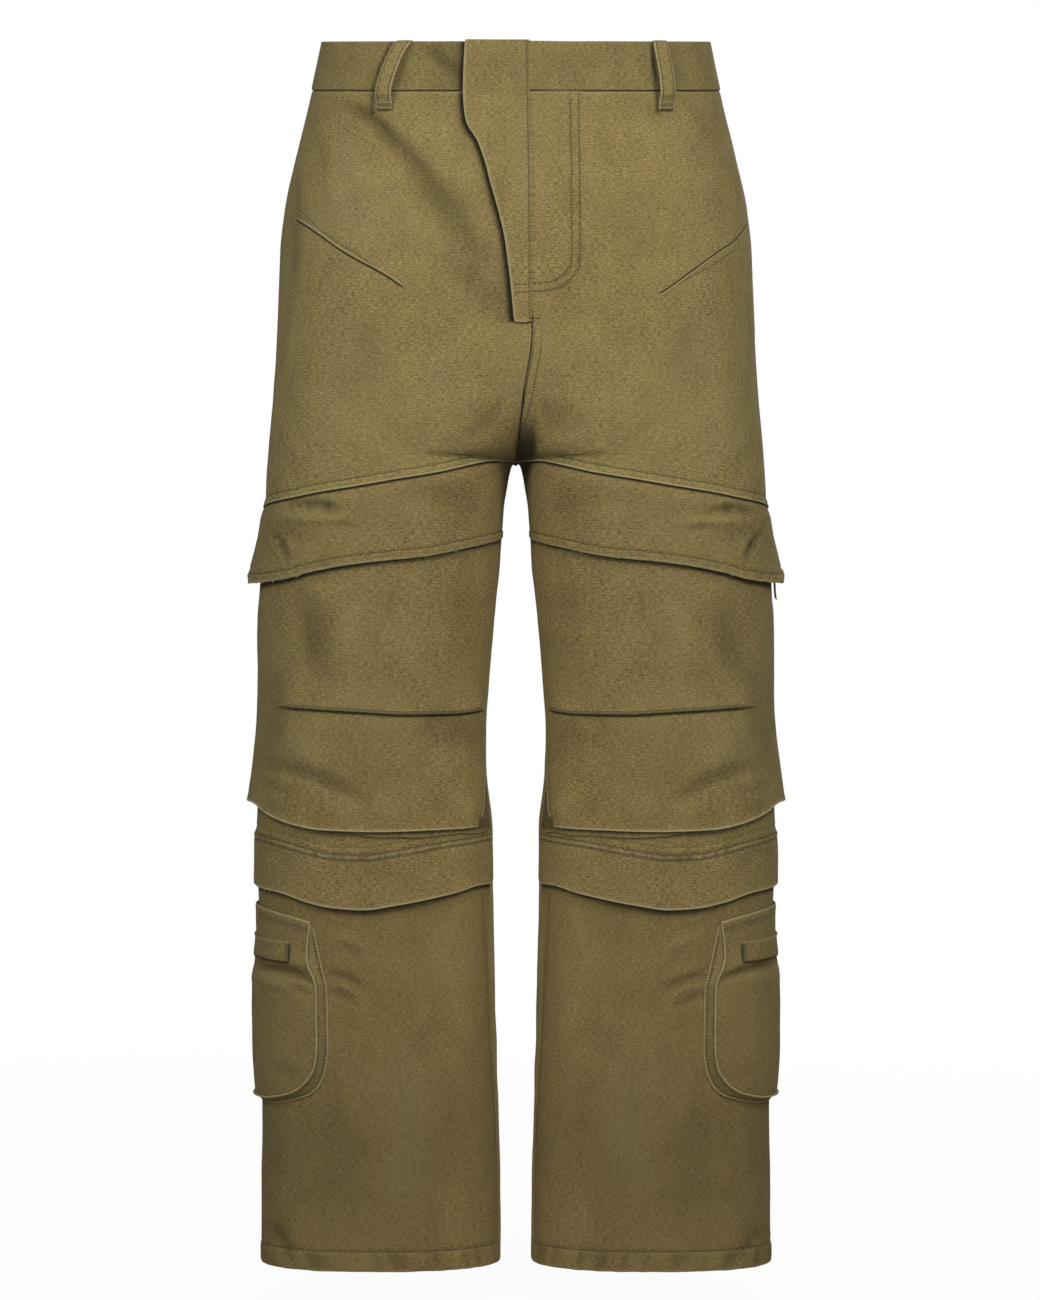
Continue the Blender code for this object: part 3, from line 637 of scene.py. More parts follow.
for word, side in SIDES.items():
    back = lay_out(
        side,
        (-0.0006, -0.9999),
        under_band(side),
        level(HEM),
        LEG_ROUND,
        (5.5, EDGE_ROWS, EDGE_ROWS),
        (5.5, EDGE_ROWS, (0, 0.25, 0.6, 1.1, 2.0, 5, 9, 13, 16, 17.2, 18.4, 21)),
    )
    x, z = back["base"][..., 0], back["base"][..., 2]
    twist, strength = (BACK_TWIST, 0.85) if side < 0 else (0, 1)
    stand = rumple(back["u"], z, 100 + side, 1.2)
    stand += creases(side * x, z + twist, BACK_CREASES) * strength
    hem_pucker = swell(back["u"], 0, 6.5, 31) * np.clip(1 - back["from_foot"] / 17, 0, 1)
    stand += 0.35 * hem_pucker - 0.5 * near(back["from_foot"], HEM_STITCH, 1.3)
    in_seam = at_seams(back, 1.3, "from_start", "from_end", "from_top")
    # Rumples die away towards the seams, which hold the cloth flat.
    stand = stand * np.clip(back["from_start"] / 25, 0.25, 1) * np.clip(back["from_end"] / 25, 0.25, 1)
    stand = stand * np.clip(back["from_top"] / 30, 0.1, 1) - SEAM_DIP * np.clip(in_seam, 0, 1)
    raise_up(back, stand)
    # Painted shade in the seams' grooves.
    sew(
        f"back_{word}_cloth", back, CANVAS,
        wear_and_highlight=0.25 * near(back["from_foot"], 0, 0.8), shade=0.5 * in_seam,
    )
    backs[side] = back

# ------------------------------------------------------------------------------------ fronts
# Each front is three panels: hip, thigh and shin, joined across the leg at the top of the thigh
# and below the knee. The hips have a slanting dart from the side, and the left one the curved
# double row of stitches that holds the fly's facing.
EDGE_COLUMNS = ("girth", "thigh_seam", "flap", "pleat", "pocket", "knee_seam", "knee_flap")
EDGES = (
    (0.00, -405.0, -470.0, -573.5, -656.0, -682.0, -726.0),
    (0.13, -402.5, -470.0, -574.0, -657.0, -683.5, -729.0),
    (0.26, -399.0, -468.0, -575.0, -668.0, -688.0, -732.5),
    (0.35, -394.5, -461.5, -576.3, -674.5, -693.5, -739.5),
    (0.43, -390.5, -456.5, -577.7, -678.0, -698.0, -744.0),
    (0.52, -385.0, -452.5, -579.2, -679.0, -698.7, -745.5),
    (0.62, -378.8, -449.0, -581.0, -679.5, -694.5, -741.5),
    (0.78, -367.0, -438.5, -580.5, -678.5, -687.5, -733.0),
    (0.90, -364.6, -433.0, -578.0, -678.0, -685.0, -727.0),
    (1.00, CROTCH, -430.0, -577.0, -677.0, -683.5, -727.5),
)


def edge(name):
    """One edge across the leg's front, as a function of girth."""
    return lambda girths: along(EDGES, EDGE_COLUMNS, name, girths)


FRONT_ENDS = (0.0006, 0.9999)
INSEAM_ROWS = np.arange(5, 21, 1.5)
THIGH_STITCH = 7.6          # how far above the thigh seam its row of stitches runs
HIP_CREASES = {
    -1: (
        (-152, -62, -98, -108, 7, 7, -3.4, -0.5),
        (-122, -78, -46, -166, 4, 9, -3.5, -0.45),
        (-92, -128, -18, -212, 3, 12, -2.2, -0.2),
        (-174, -84, -160, -132, 2, 8, -1.8, 0.0),
        (-188, -112, -192, -228, -1, 6, -2.4, 0.3),
        (-66, -186, -2, -258, -4, 13, -2.2, 0.2),
        (-160, -95, -112, -200, 4, 26, 2.2, 0.0),
        (-78, -84, -40, -150, 2, 13, 2.2, 0.0),
        (-60, -96, -34, -200, -3, 7, -1.6, 0.0),
        (-104, -150, -64, -212, 4, 12, 1.5, 0.0),
        (-10, -312, -40, -350, 4, 8, -1.5, 0.2),
        (-16, -330, -62, -360, 3, 7, -0.7, 0.0),
        (-120, -235, -150, -330, 6, 22, -1.1, 0.0),
        (-60, -262, -92, -340, 6, 20, 1.2, 0.0),
    ),
    1: (
        (20, -52, 52, -58, -2, 10, -0.8, 0.0),
        (96, -66, 128, -96, 3, 9, -1.3, 0.3),
        (150, -62, 172, -118, 4, 12, -0.6, 0.0),
        (90, -84, 150, -130, 6, 20, 1.0, 0.0),
        (74, -150, 128, -208, -6, 22, -0.9, 0.0),
        (12, -312, 42, -350, -4, 9, -2.0, 0.2),
        (18, -322, 66, -352, 4, 7, -1.0, 0.2),
        (14, -300, 50, -322, 3, 8, -0.7, 0.0),
        (140, -235, 168, -330, -6, 22, -1.1, 0.0),
        (64, -250, 96, -345, -6, 22, 1.2, 0.0),
        (170, -250, 176, -380, 0, 16, 1.0, 0.0),
    ),
}
SHIN_CREASES = {
    -1: (
        (-164, -802, -126, -818, 5, 4.0, -2.6, 0.5),
        (-162, -816, -134, -829, 3, 4.0, -2.0, 0.4),
        (-158, -768, -130, -780, 2, 5.0, 1.5, 0.3),
        (-152, -778, -128, -786, 2, 4.0, -1.0, 0.0),
        (-128, -690, -60, -760, 8, 22, -0.9, 0.0),
        (-100, -850, -92, -990, 6, 26, 1.5, 0.0),
        (-160, -890, -150, -1030, 4, 22, -1.2, 0.0),
        (-46, -820, -52, -1000, 4, 20, -1.0, 0.0),
        (-216, -1016, -190, -1050, 3, 6, -2.4, 0.2),
        (-120, -960, -70, -1015, 6, 18, 0.8, 0.0),
        (-28.5, -728, -15, -985, 1, 1.3, -2.2, 0.0),
        (-25.8, -728, -13, -985, 1, 1.3, 0.7, 0.0),
    ),
    1: (
        (165, -804, 122, -820, -5, 4.0, -2.5, -0.5),
        (168, -818, 132, -832, -3, 4.0, -1.9, -0.4),
        (160, -768, 126, -784, -2, 5.0, 1.4, -0.3),
        (128, -700, 66, -775, -8, 22, -0.9, 0.0),
        (104, -830, 90, -985, -6, 26, 1.4, 0.0),
        (162, -900, 146, -1035, -4, 22, -1.3, 0.0),
        (48, -840, 54, -1010, -4, 20, -0.9, 0.0),
        (214, -1020, 188, -1048, -3, 6, -2.0, 0.2),
        (70, -930, 124, -990, 6, 18, 0.8, 0.0),
        (28.5, -728, 15, -985, -1, 1.3, -2.2, 0.0),
        (25.8, -728, 13, -985, -1, 1.3, 0.7, 0.0),
    ),
}
# The facing behind the left hip is this wide where it is straight, and turns in by this radius.
FACING_FLAT, FACING_TURN, FACING_ROUND = 10.0, -198.0, 31.0
FACING_RISE = 1.5
FACING_ROWS = (-1.3, -8.0)
FLY_END = -256.0            # where the fly's foot lets the centre seam show
CENTRE_ROWS = (2.0, 8.2)
# The fly's free edge, and how far it and the sewn edge stand off the form.
FLY_COLUMNS = ("z", "girth", "free_stand", "sewn_stand")
FLY = (
    (-16, 0.772, 3.6, 2.9),
    (-40, 0.772, 3.9, 2.8),
    (-60, 0.774, 4.3, 2.4),
    (-78, 0.780, 4.6, 1.9),
    (-86, 0.785, 4.9, 1.8),
    (-104, 0.824, 5.2, 1.6),
    (-120, 0.845, 5.0, 1.5),
    (-137, 0.859, 4.7, 1.4),
    (-165, 0.891, 4.3, 1.4),
    (-195, 0.919, 3.8, 1.4),
    (-225, 0.936, 3.3, 1.4),
    (-253.5, 0.947, 2.8, 1.3),
)
FLY_TOP, FLY_FOOT = -16.2, -253.6


def past_fly(piece, z, girth_length):
    """How far a place lies beyond the fly's free edge, towards the side."""
    return (along(FLY, FLY_COLUMNS, "girth", z) - piece["girth"]) * girth_length


def beside_loop(side, x, z):
    """How near a place is to the shadow that falls beside the foot of a front belt loop."""
    line = 114.0 - 0.09 * (z + 17) if side > 0 else -121.0 + 0.0045 * (z + 78) ** 2
    return near(x, line, 1.5) * ease((z + 79) / 3)


hips, shins = {}, {}
for word, side in SIDES.items():
    hip = lay_out(
        side,
        FRONT_ENDS,
        under_band(side),
        lambda girths: edge("thigh_seam")(girths) - 0.6,
        HIP_ROUND,
        (2.3, EDGE_ROWS, (0, 0.25, 0.6, 1.1, 1.7, 2.2, 2.8, 4, 6, 7.6, 8.2, 8.8, 10)),
        (2.5, EDGE_ROWS, (0, 0.25, 0.6, 1.1, 1.8, 3, 4.5, 6, 7, 7.6, 8.2, 8.8, 10)),
    )
    x, z = hip["base"][..., 0], hip["base"][..., 2]
    stand = rumple(hip["u"], z, 200 + side) + folds(hip, HIP_CREASES[side])
    stand *= np.clip(hip["from_start"] / 22, 0.25, 1) * np.clip(hip["from_top"] / 18, 0.1, 1)
    stand *= np.clip(hip["from_end"] / 16, 0.3, 1) * np.clip(hip["from_foot"] / 18, 0.2, 1)
    # The seam allowance makes the strip above the thigh seam stand up from its row of stitches.
    strip = np.clip((hip["from_foot"] - 0.4) / 2, 0, 1)
    strip = strip * np.clip((THIGH_STITCH - hip["from_foot"]) / 2, 0, 1)
    puckers = swell(hip["u"], 0, 5.5, 41 + side) * strip
    stand += np.clip(1 - hip["from_foot"] / 9, 0, 1) * 1.3 + 0.5 * strip + 0.28 * puckers
    stand -= 0.55 * near(hip["from_foot"], THIGH_STITCH, 0.9)
    in_seam = at_seams(hip, 1.2, "from_start", "from_end") + 0.35 * near(hip["from_top"], 0, 1.2)
    stand -= SEAM_DIP * np.clip(in_seam, 0, 1) + 0.9 * near(hip["from_foot"], 0, 0.7)
    # Painted shade in the seams and the thigh seam's groove, and painted shadow beside the front loops' feet.
    shade = 0.55 * in_seam + 0.9 * near(hip["from_foot"], 0, 0.5) + 0.7 * beside_loop(side, x, z)
    if side > 0:
        # The fly's facing lies behind the left hip, as far as the curved double row.
        inwards, downwards = hip["from_end"] - FACING_FLAT, FACING_TURN - z
        outside = np.hypot(np.maximum(inwards, 0), np.maximum(downwards, 0)) - FACING_ROUND
        stand += FACING_RISE * ease(0.5 - outside / 5)
        below_turn = ease((z - FLY_END) / 5) * ease((downwards - 20) / 12)
        stand += FACING_RISE * ease(1 - hip["from_end"] / 9) * below_turn
        rows = sum(near(outside, row, 1.2) for row in FACING_ROWS)
        stand += 0.22 * swell(z, hip["from_end"], 6, 43) * near(outside, -4.5, 4) - 0.45 * rows
        below = ease((FLY_END - z) / 4)
        first, second = CENTRE_ROWS
        centre_rows = below * (near(hip["from_end"], first, 0.5) + near(hip["from_end"], second, 0.6))
        stand -= 0.35 * centre_rows
        stand += 0.55 * (1 - below) * SEAM_DIP * near(hip["from_end"], 0, 1.2)
        shade = shade * np.where(hip["from_end"] < 4, 0.4 + 0.6 * below, 1)
        # Painted shade along the rows of stitches.
        shade += 0.25 * rows + 0.25 * centre_rows
        # The left side lies deeper at the fork, and the other side's shadow is painted on it.
        shade += 1.0 * ease((21 - x) / 7) * ease((-322 - z) / 34)
    raise_up(hip, stand)
    # Pale rims at the band seam and the thigh seam: worn, and a painted highlight where the rolled edges
    # catch the light.
    wear_and_highlight = 0.35 * near(hip["from_top"], 1.1, 0.8) + 0.15 * near(hip["from_foot"], 0.8, 0.8)
    # Painted shade along the row of stitches above the thigh seam.
    shade = shade + 0.3 * near(hip["from_foot"], THIGH_STITCH, 0.6)
    if side < 0:
        wear_and_highlight = wear_and_highlight + 0.7 * near(hip["from_end"], 0.9, 0.7) * ease((-258 - z) / 4)
        # Under the fly's free edge, the fly's shadow is painted on the cloth.
        past = past_fly(hip, z, HIP_ROUND)
        shade = shade + np.where(z > FLY_FOOT, 0.85 * ease(1.3 - past / 5) + 0.2 * ease(1 - past / 18), 0)
    sew(
        f"front_hip_{word}_cloth", hip, CANVAS, rim=np.where(hip["from_end"] < 1.5, 0.5, 1.0),
        wear_and_highlight=wear_and_highlight, shade=shade,
    )
    hips[side] = hip

    thigh = lay_out(
        side,
        FRONT_ENDS,
        edge("thigh_seam"),
        edge("knee_seam"),
        LEG_ROUND,
        (6, EDGE_ROWS, EDGE_ROWS),
        (5, EDGE_ROWS, (0, 0.25, 0.6, 1.1, 1.8, 3, 4.4, 5, 5.6, 6.4, 8)),
    )
    in_seam = at_seams(thigh, 1.2, "from_start", "from_end")
    stand = -0.5 - SEAM_DIP * np.clip(in_seam, 0, 1)
    # Under the pocket the cloth lies a little deeper.
    above_pocket = thigh["height"] - edge("pocket")(thigh["girth"])
    stand -= 1.2 * ease((above_pocket - 14) / 14) * ease((thigh["from_top"] - 10) / 12)
    low = np.clip(1 - thigh["from_foot"] / 14, 0, 1)
    stand += low * (0.8 + 0.35 * swell(thigh["u"], 0, 7, 51 + side)) - 0.5 * near(thigh["from_foot"], 5, 0.8)
    stand -= 0.6 * near(thigh["from_foot"], 0, 0.7)
    raise_up(thigh, stand)
    # Painted shade in the seams, and painted shadow just under the pocket's edge.
    sew(
        f"front_thigh_{word}_cloth", thigh, LEG_CANVAS,
        shade=0.5 * in_seam + 0.5 * ease(1.4 + above_pocket / 4) + 0.15 * ease(1 + above_pocket / 14),
    )

    shin = lay_out(
        side,
        FRONT_ENDS,
        edge("knee_seam"),
        level(HEM),
        SHIN_ROUND,
        (3.2, EDGE_ROWS, (0, 0.25, 0.6, 1.1, 1.8, 2.6, 3.6, *INSEAM_ROWS)),
        (3.2, EDGE_ROWS, (0, 0.25, 0.6, 1.1, 2.0, 4, 7, 10, 13, 15, 16.2, 17.2, 18.2, 19.6, 22)),
    )
    z = shin["base"][..., 2]
    stand = rumple(shin["u"], z, 300 + side) + folds(shin, SHIN_CREASES[side])
    stand *= np.clip(shin["from_start"] / 22, 0.25, 1) * np.clip(shin["from_end"] / 16, 0.25, 1)
    stand *= np.clip(shin["from_top"] / 20, 0.1, 1)
    turned = np.clip(shin["from_foot"] / 3, 0, 1) * np.clip((HEM_STITCH - shin["from_foot"]) / 4, 0, 1)
    puckers = swell(shin["u"] + 0.35 * shin["from_foot"], 0, 6.5, 61 + side) * turned
    stand += 0.55 * np.clip((HEM_STITCH + 1 - shin["from_foot"]) / 2, 0, 1) + 0.95 * puckers
    stand += 0.4 * swell(shin["u"], 0, 5, 63 + side) * near(shin["from_foot"], HEM_STITCH + 4, 4)
    stand -= 0.75 * near(shin["from_foot"], HEM_STITCH, 1.1)
    in_seam = at_seams(shin, 1.2, "from_start", "from_end")
    stand -= SEAM_DIP * np.clip(in_seam, 0, 1)
    raise_up(shin, stand)
    # Painted shadow under the knee flap, painted shade along the hem's row and in its puckers, and a painted
    # darker band low on the shin, where less light falls.
    under_flap = edge("knee_flap")(shin["girth"]) - z
    shade = 0.55 * in_seam + 0.65 * ease(1.4 - under_flap / 4) + 0.15 * ease(1 - under_flap / 16)
    shade += 0.55 * near(shin["from_foot"], HEM_STITCH, 0.8) + 0.35 * np.clip(-puckers, 0, 1)
    shade += 0.17 * near(z, -955, 75)
    sew(
        f"front_shin_{word}_cloth", shin, SHIN_CANVAS, thickness=1.6,
        wear_and_highlight=0.30 * near(shin["from_foot"], 0.4, 0.9), shade=shade,
    )
    shins[side] = shin

# --------------------------------------------------------------------------------- waistband
# A doubled band with no topstitching: two fronts that end under the fly, and one back.
BAND_PROUD = 1.0
BAND_CLOTH = 2.4
BAND_CREASES = {
    -1: (
        (-84, -20, -44, -54, 3, 6.5, -2.5, 0.3),
        (-60, -20, -38, -40, 2, 6, 0.7, 0.0),
        (-142, -24, -122, -52, 2, 9, -0.7, 0.2),
        (-108, -30, -92, -56, -1, 7, -0.8, 0.0),
    ),
    1: (
        (100, -24, 116, -54, 2, 8, -0.8, 0.0),
        (128, -26, 146, -52, -2, 9, -0.8, -0.2),
        (40, -22, 66, -52, 3, 14, -0.5, 0.0),
    ),
}


BAND_ROUND = 232.0
BAND_END = 0.99998
BAND_DOWN = (2.6, (0, 0.3, 0.8, 1.5, 2.4, 3.6), (0, 0.25, 0.6, 1.1, 1.7, 2.5))


def band_rows(side, ends, across):
    """The grid of one side of the band, which follows the waist's edge."""
    top = lambda girths: waist_edge(side, girths) - 0.1
    foot = lambda girths: waist_edge(side, girths) - BAND_HEIGHT + 0.1
    return lay_out(side, ends, top, foot, BAND_ROUND, across, BAND_DOWN)


def band_stand(piece, extra):
    """The band stands proud; both edges are rolled, and its lower one dips into the seam."""
    stand = BAND_PROUD + rumple(piece["u"], piece["height"], 400 + piece["side"], 0.35) + extra
    stand = stand + 0.25 * swell(piece["u"], 0, 9, 12) * np.clip(1 - piece["from_foot"] / 10, 0, 1)
    return stand - 0.4 * near(piece["from_foot"], 0, 0.9) - 0.4 * near(piece["from_top"], 0, 0.8)


bands = {}
for word, side in SIDES.items():
    band = band_rows(side, (FRONT_ENDS[0], BAND_END), (2.6, EDGE_ROWS, EDGE_ROWS))
    x, z = band["base"][..., 0], band["base"][..., 2]
    extra = folds(band, BAND_CREASES[side])
    # Painted shade: a little all over the band, more at its seam, and the loops' shadow beside their feet.
    shade = 0.15 + 0.6 * near(band["from_foot"], 0, 0.6)
    if side > 0:
        extra = extra + 1.3 * ease(1 - band["from_end"] / 34)
    else:
        # The fly's shadow is painted on the band beside its free edge.
        past = past_fly(band, z, BAND_ROUND)
        shade = shade + 0.8 * ease(1.3 - past / 4) + 0.3 * ease(1 - past / 16) + 0.12 * ease(1 - past / 60)
    raise_up(band, band_stand(band, extra))
    sew(
        f"waistband_front_{word}_cloth", band, CANVAS, thickness=BAND_CLOTH,
        rim=np.where(band["from_end"] < 1.5, 0.5, 1.3), shade=shade + 0.7 * beside_loop(side, x, z),
        wear_and_highlight=0.35 * near(band["from_top"], 0.4, 1.0) + 0.10 * near(band["from_foot"], 1.2, 0.6),
    )
    bands[side] = band
# Behind, the band is laid on both sides and joined at the centre, where the two share a column.
right, left = (band_rows(side, (-FRONT_ENDS[0], -1.0), (3.2, EDGE_ROWS, ())) for side in (-1, 1))
for part in (right, left):
    part["u"] = -part["side"] * (part["girth"] + 1) * BAND_ROUND
band = {"side": 1}
for key in ("girth", "height", "base", "away", "u"):
    band[key] = np.concatenate((right[key], left[key][-2::-1]))
with_borders(band)
raise_up(band, band_stand(band, 0))
# Painted shade: a little all over the band, and more at its seam.
sew(
    "waistband_back_cloth", band, CANVAS, thickness=BAND_CLOTH, rim=1.3,
    wear_and_highlight=0.35 * near(band["from_top"], 0.4, 1.0), shade=0.15 + 0.6 * near(band["from_foot"], 0, 0.6),
)

# --------------------------------------------------------------------------------------- fly
# A doubled panel laps over from the right and closes the front. Its slanting edge is free.
FLY_CREASES = (
    (-44, -60, 10, -64, -2, 6, -1.0, 0.3),
    (-40, -70, 4, -74, 2, 8, 0.7, 0.0),
    (-26, -96, -10, -180, 4, 10, -0.7, 0.0),
    (2, -110, -4, -210, 2, 9, 0.6, 0.0),
)
FLY_STITCH = 2.2
fly = lay_out(
    -1,
    (lambda z: along(FLY, FLY_COLUMNS, "girth", z), BAND_END),
    level(FLY_TOP),
    level(FLY_FOOT),
    HIP_ROUND,
    (1.0, (0, 0.25, 0.6, 1.1, 1.7, 2.6), (0, 0.25, 0.6, 1.1, 1.7, 2.3, 2.9, 3.8)),
    (2.2, (0, 0.3, 0.8, 1.5), (0, 0.25, 0.6, 1.1, 1.7, 2.6)),
)
z = fly["base"][..., 2]
free = along(FLY, FLY_COLUMNS, "free_stand", z)
sewn = along(FLY, FLY_COLUMNS, "sewn_stand", z)
stitched = near(fly["from_end"], FLY_STITCH, 0.6)
stand = free + (sewn - free) * ease(fly["from_start"] / 26) + 0.4 * rumple(fly["u"], z, 500)
stand += folds(fly, FLY_CREASES)
stand -= 0.4 * near(fly["from_end"], 0, 0.9) + 0.35 * stitched
stand -= 0.5 * np.clip(1 - fly["from_start"] / 2.0, 0, 1) ** 2
raise_up(fly, stand)
# Painted shade at the fly's top, in its sewn edge and along its row of stitches.
sew(
    "fly_overlap_cloth", fly, CANVAS, thickness=2.0, rim=np.where(fly["from_end"] < 1.5, 0.45, 0.9),
    wear_and_highlight=0.9 * near(fly["from_start"], 0.5, 1.1) + 0.7 * near(fly["from_foot"], 0.5, 1.0),
    shade=0.12 * ease((z + 70) / 30) + 0.35 * near(fly["from_end"], 0, 0.6) + 0.3 * stitched,
)

# -------------------------------------------------------------------------------- belt loops
# Five doubled straps, folded in and tacked at both ends, standing off the band between.
LOOP_WIDTH = 13.0
LOOP_LENGTH = 60.5
LOOP_FOOT = -17.2
LOOP_PATH_COLUMNS = ("above_band_seam", "front_right", "front_left", "back", "centre")
LOOP_PATHS = (
    (-17.2, 0.507, 0.5447, -0.450, -1.0),
    (0.0, 0.510, 0.5390, -0.450, -1.0),
    (14.0, 0.522, 0.5385, -0.450, -1.0),
    (30.0, 0.540, 0.5385, -0.450, -1.0),
    (43.3, 0.560, 0.528, -0.450, -1.0),
)
LOOP_STAND_COLUMNS = ("above_band_seam", "stand")
LOOP_STANDS = (
    (-17.2, 2.4),
    (-15.0, 3.3),
    (-11.0, 3.5),
    (-8.5, 5.2),
    (-5.0, 8.0),
    (15.0, 10.2),
    (31.0, 9.0),
    (37.5, 6.6),
    (41.0, 4.6),
    (43.3, 2.6),
)
LOOPS = (
    ("belt_loop_front_right", -1, "front_right"),
    ("belt_loop_front_left", 1, "front_left"),
    ("belt_loop_back_right", -1, "back"),
    ("belt_loop_back_left", 1, "back"),
)


def belt_loop(side, path):
    """A strap's grid, laid along the profile from its top down."""
    across, _ = spread(LOOP_WIDTH, 1.1)
    across = np.unique(np.round(np.concatenate((across, (0.02, 0.06, 0.94, 0.98))), 4))[:, None]
    down, _ = spread(LOOP_LENGTH, 1.6)
    rise = LOOP_FOOT + LOOP_LENGTH * (1 - down) + 0 * across
    girths = along(LOOP_PATHS, LOOP_PATH_COLUMNS, path, rise) + (across - 0.5) * LOOP_WIDTH / BAND_ROUND
    strap = measured(side, girths, waist_edge(side, girths) - BAND_HEIGHT + rise)
    cup = 1 - (2 * across - 1) ** 2
    stand = along(LOOP_STANDS, LOOP_STAND_COLUMNS, "stand", rise) + 0.5 * cup
    strap["stand"] = stand - 0.4 * near(rise, -13.0, 0.9) - 0.3 * near(rise, 38.5, 0.9)
    strap["u"] = across * LOOP_WIDTH + 0 * rise
    strap["pale_mix"] = 0.30 * near(rise, -13.5, 3.0)
    return strap


def sew_loop(name, strap, strength, reach, width):
    """Finish a strap, its borders rubbed pale."""
    raise_up(strap, strap["stand"])
    border = np.min(border_distances(strap["points"]), axis=0)
    wear_and_highlight = strength * near(border, reach, width) + strap["pale_mix"]
    sew(
        f"{name}_cloth", strap, CANVAS, thickness=1.9, rim=0.8, wear_and_highlight=wear_and_highlight,
    )
    straps[name] = strap


straps = {}
for name, side, path in LOOPS:
    sew_loop(name, belt_loop(side, path), 0.8, 0.4, 0.8)
# The strap at the centre back crosses the seam, so it is laid on both sides and joined.
right, left = (belt_loop(side, "centre") for side in (-1, 1))
inner = right["girth"][:, 0] > -1
strap = {"side": 1, "pale_mix": 0}
for key in ("girth", "height", "base", "away", "stand"):
    strap[key] = np.concatenate((right[key][inner][::-1], left[key][inner]))
strap["u"] = strap["base"][..., 0]
sew_loop("belt_loop_centre_back", with_borders(strap), 0.6, 0.3, 0.7)

# ----------------------------------------------------------------------------- thigh pockets
# Each pocket is as wide as the leg's front, with a pleat folded across it at the knee. Its lower
# edge is open and free, and flares at the side; below it an edge of the pocket's bag shows.
POCKET_INNER_COLUMNS = ("z", "girth")
POCKET_INNER = (
    (-380, 0.998),
    (-600, 0.998),
    (-625, 0.985),
    (-647, 0.953),
    (-668, 0.915),
    (-690, 0.880),
)
STAND_COLUMNS = ("girth", "flap", "pocket", "knee_flap")
STANDS = (
    (0.00, 13.6, 9.4, 3.4),
    (0.05, 12.0, 8.2, 3.3),
    (0.10, 10.2, 6.6, 3.4),
    (0.20, 7.4, 4.6, 3.8),
    (0.35, 5.6, 3.5, 4.4),
    (0.60, 4.8, 3.1, 5.2),
    (0.85, 4.2, 3.0, 4.4),
    (0.94, 3.2, 2.7, 3.4),
    (1.00, 1.7, 2.2, 2.8),
)
ABOVE_FOLD, BELOW_FOLD = 200, 95        # about how much cloth lies above and below the fold
PLEAT_FOLD = (0, 0.35, 0.8, 1.4, 2.2, 3.2, 4.5, 6.5, 9)     # rows above the fold
# How high the rows in the fold lie, and how far out, where it is tucked; and where it is plain.
TUCK_RISE, TUCK_STAND = np.array((0.1, 0.9, 2.6, 3.4, 2.4)), np.array((1.3, 0.7, 0.3, -0.3, -0.9))
PLAIN_DROP = np.array((0.2, 0.5, 0.8, 1.1, 1.4))
POCKET_CREASES = {
    -1: (
        (-184, -474, -168, -556, 5, 12, -3.6, 0.2),
        (-150, -470, -140, -540, 4, 16, 1.2, 0.0),
        (-206, -540, -207, -640, 3, 11, -2.0, 0.0),
        (-84, -588, -26, -622, 6, 15, -2.5, 0.2),
        (-70, -640, -40, -600, -4, 12, 1.0, 0.0),
        (-214, -626, -120, -661, 7, 7, -3.3, 0.4),
        (-218, -640, -188, -650, 2, 5, -1.2, 0.0),
        (-196, -600, -160, -632, 4, 12, 1.8, 0.0),
        (-150, -600, -96, -640, -6, 20, -0.9, 0.0),
        (-90, -480, -80, -566, -4, 20, 1.0, 0.0),
        (-52, -460, -40, -560, 3, 14, -1.0, 0.0),
    ),
    1: (
        (172, -474, 184, -560, -4, 13, -2.9, 0.2),
        (140, -470, 146, -545, -4, 18, 1.1, 0.0),
        (204, -540, 206, -635, 3, 11, -1.8, 0.0),
        (60, -590, 34, -628, -5, 14, -1.4, 0.0),
        (208, -626, 128, -660, -6, 7, -3.0, -0.4),
        (216, -640, 190, -652, -2, 5, -1.1, 0.0),
        (188, -600, 156, -632, -4, 12, 1.6, 0.0),
        (150, -604, 100, -644, 6, 20, -0.8, 0.0),
        (80, -480, 74, -566, 4, 20, 0.9, 0.0),
        (46, -470, 40, -560, -3, 14, -0.9, 0.0),
    ),
}
POCKET_DROP = 20.0
pockets = {}
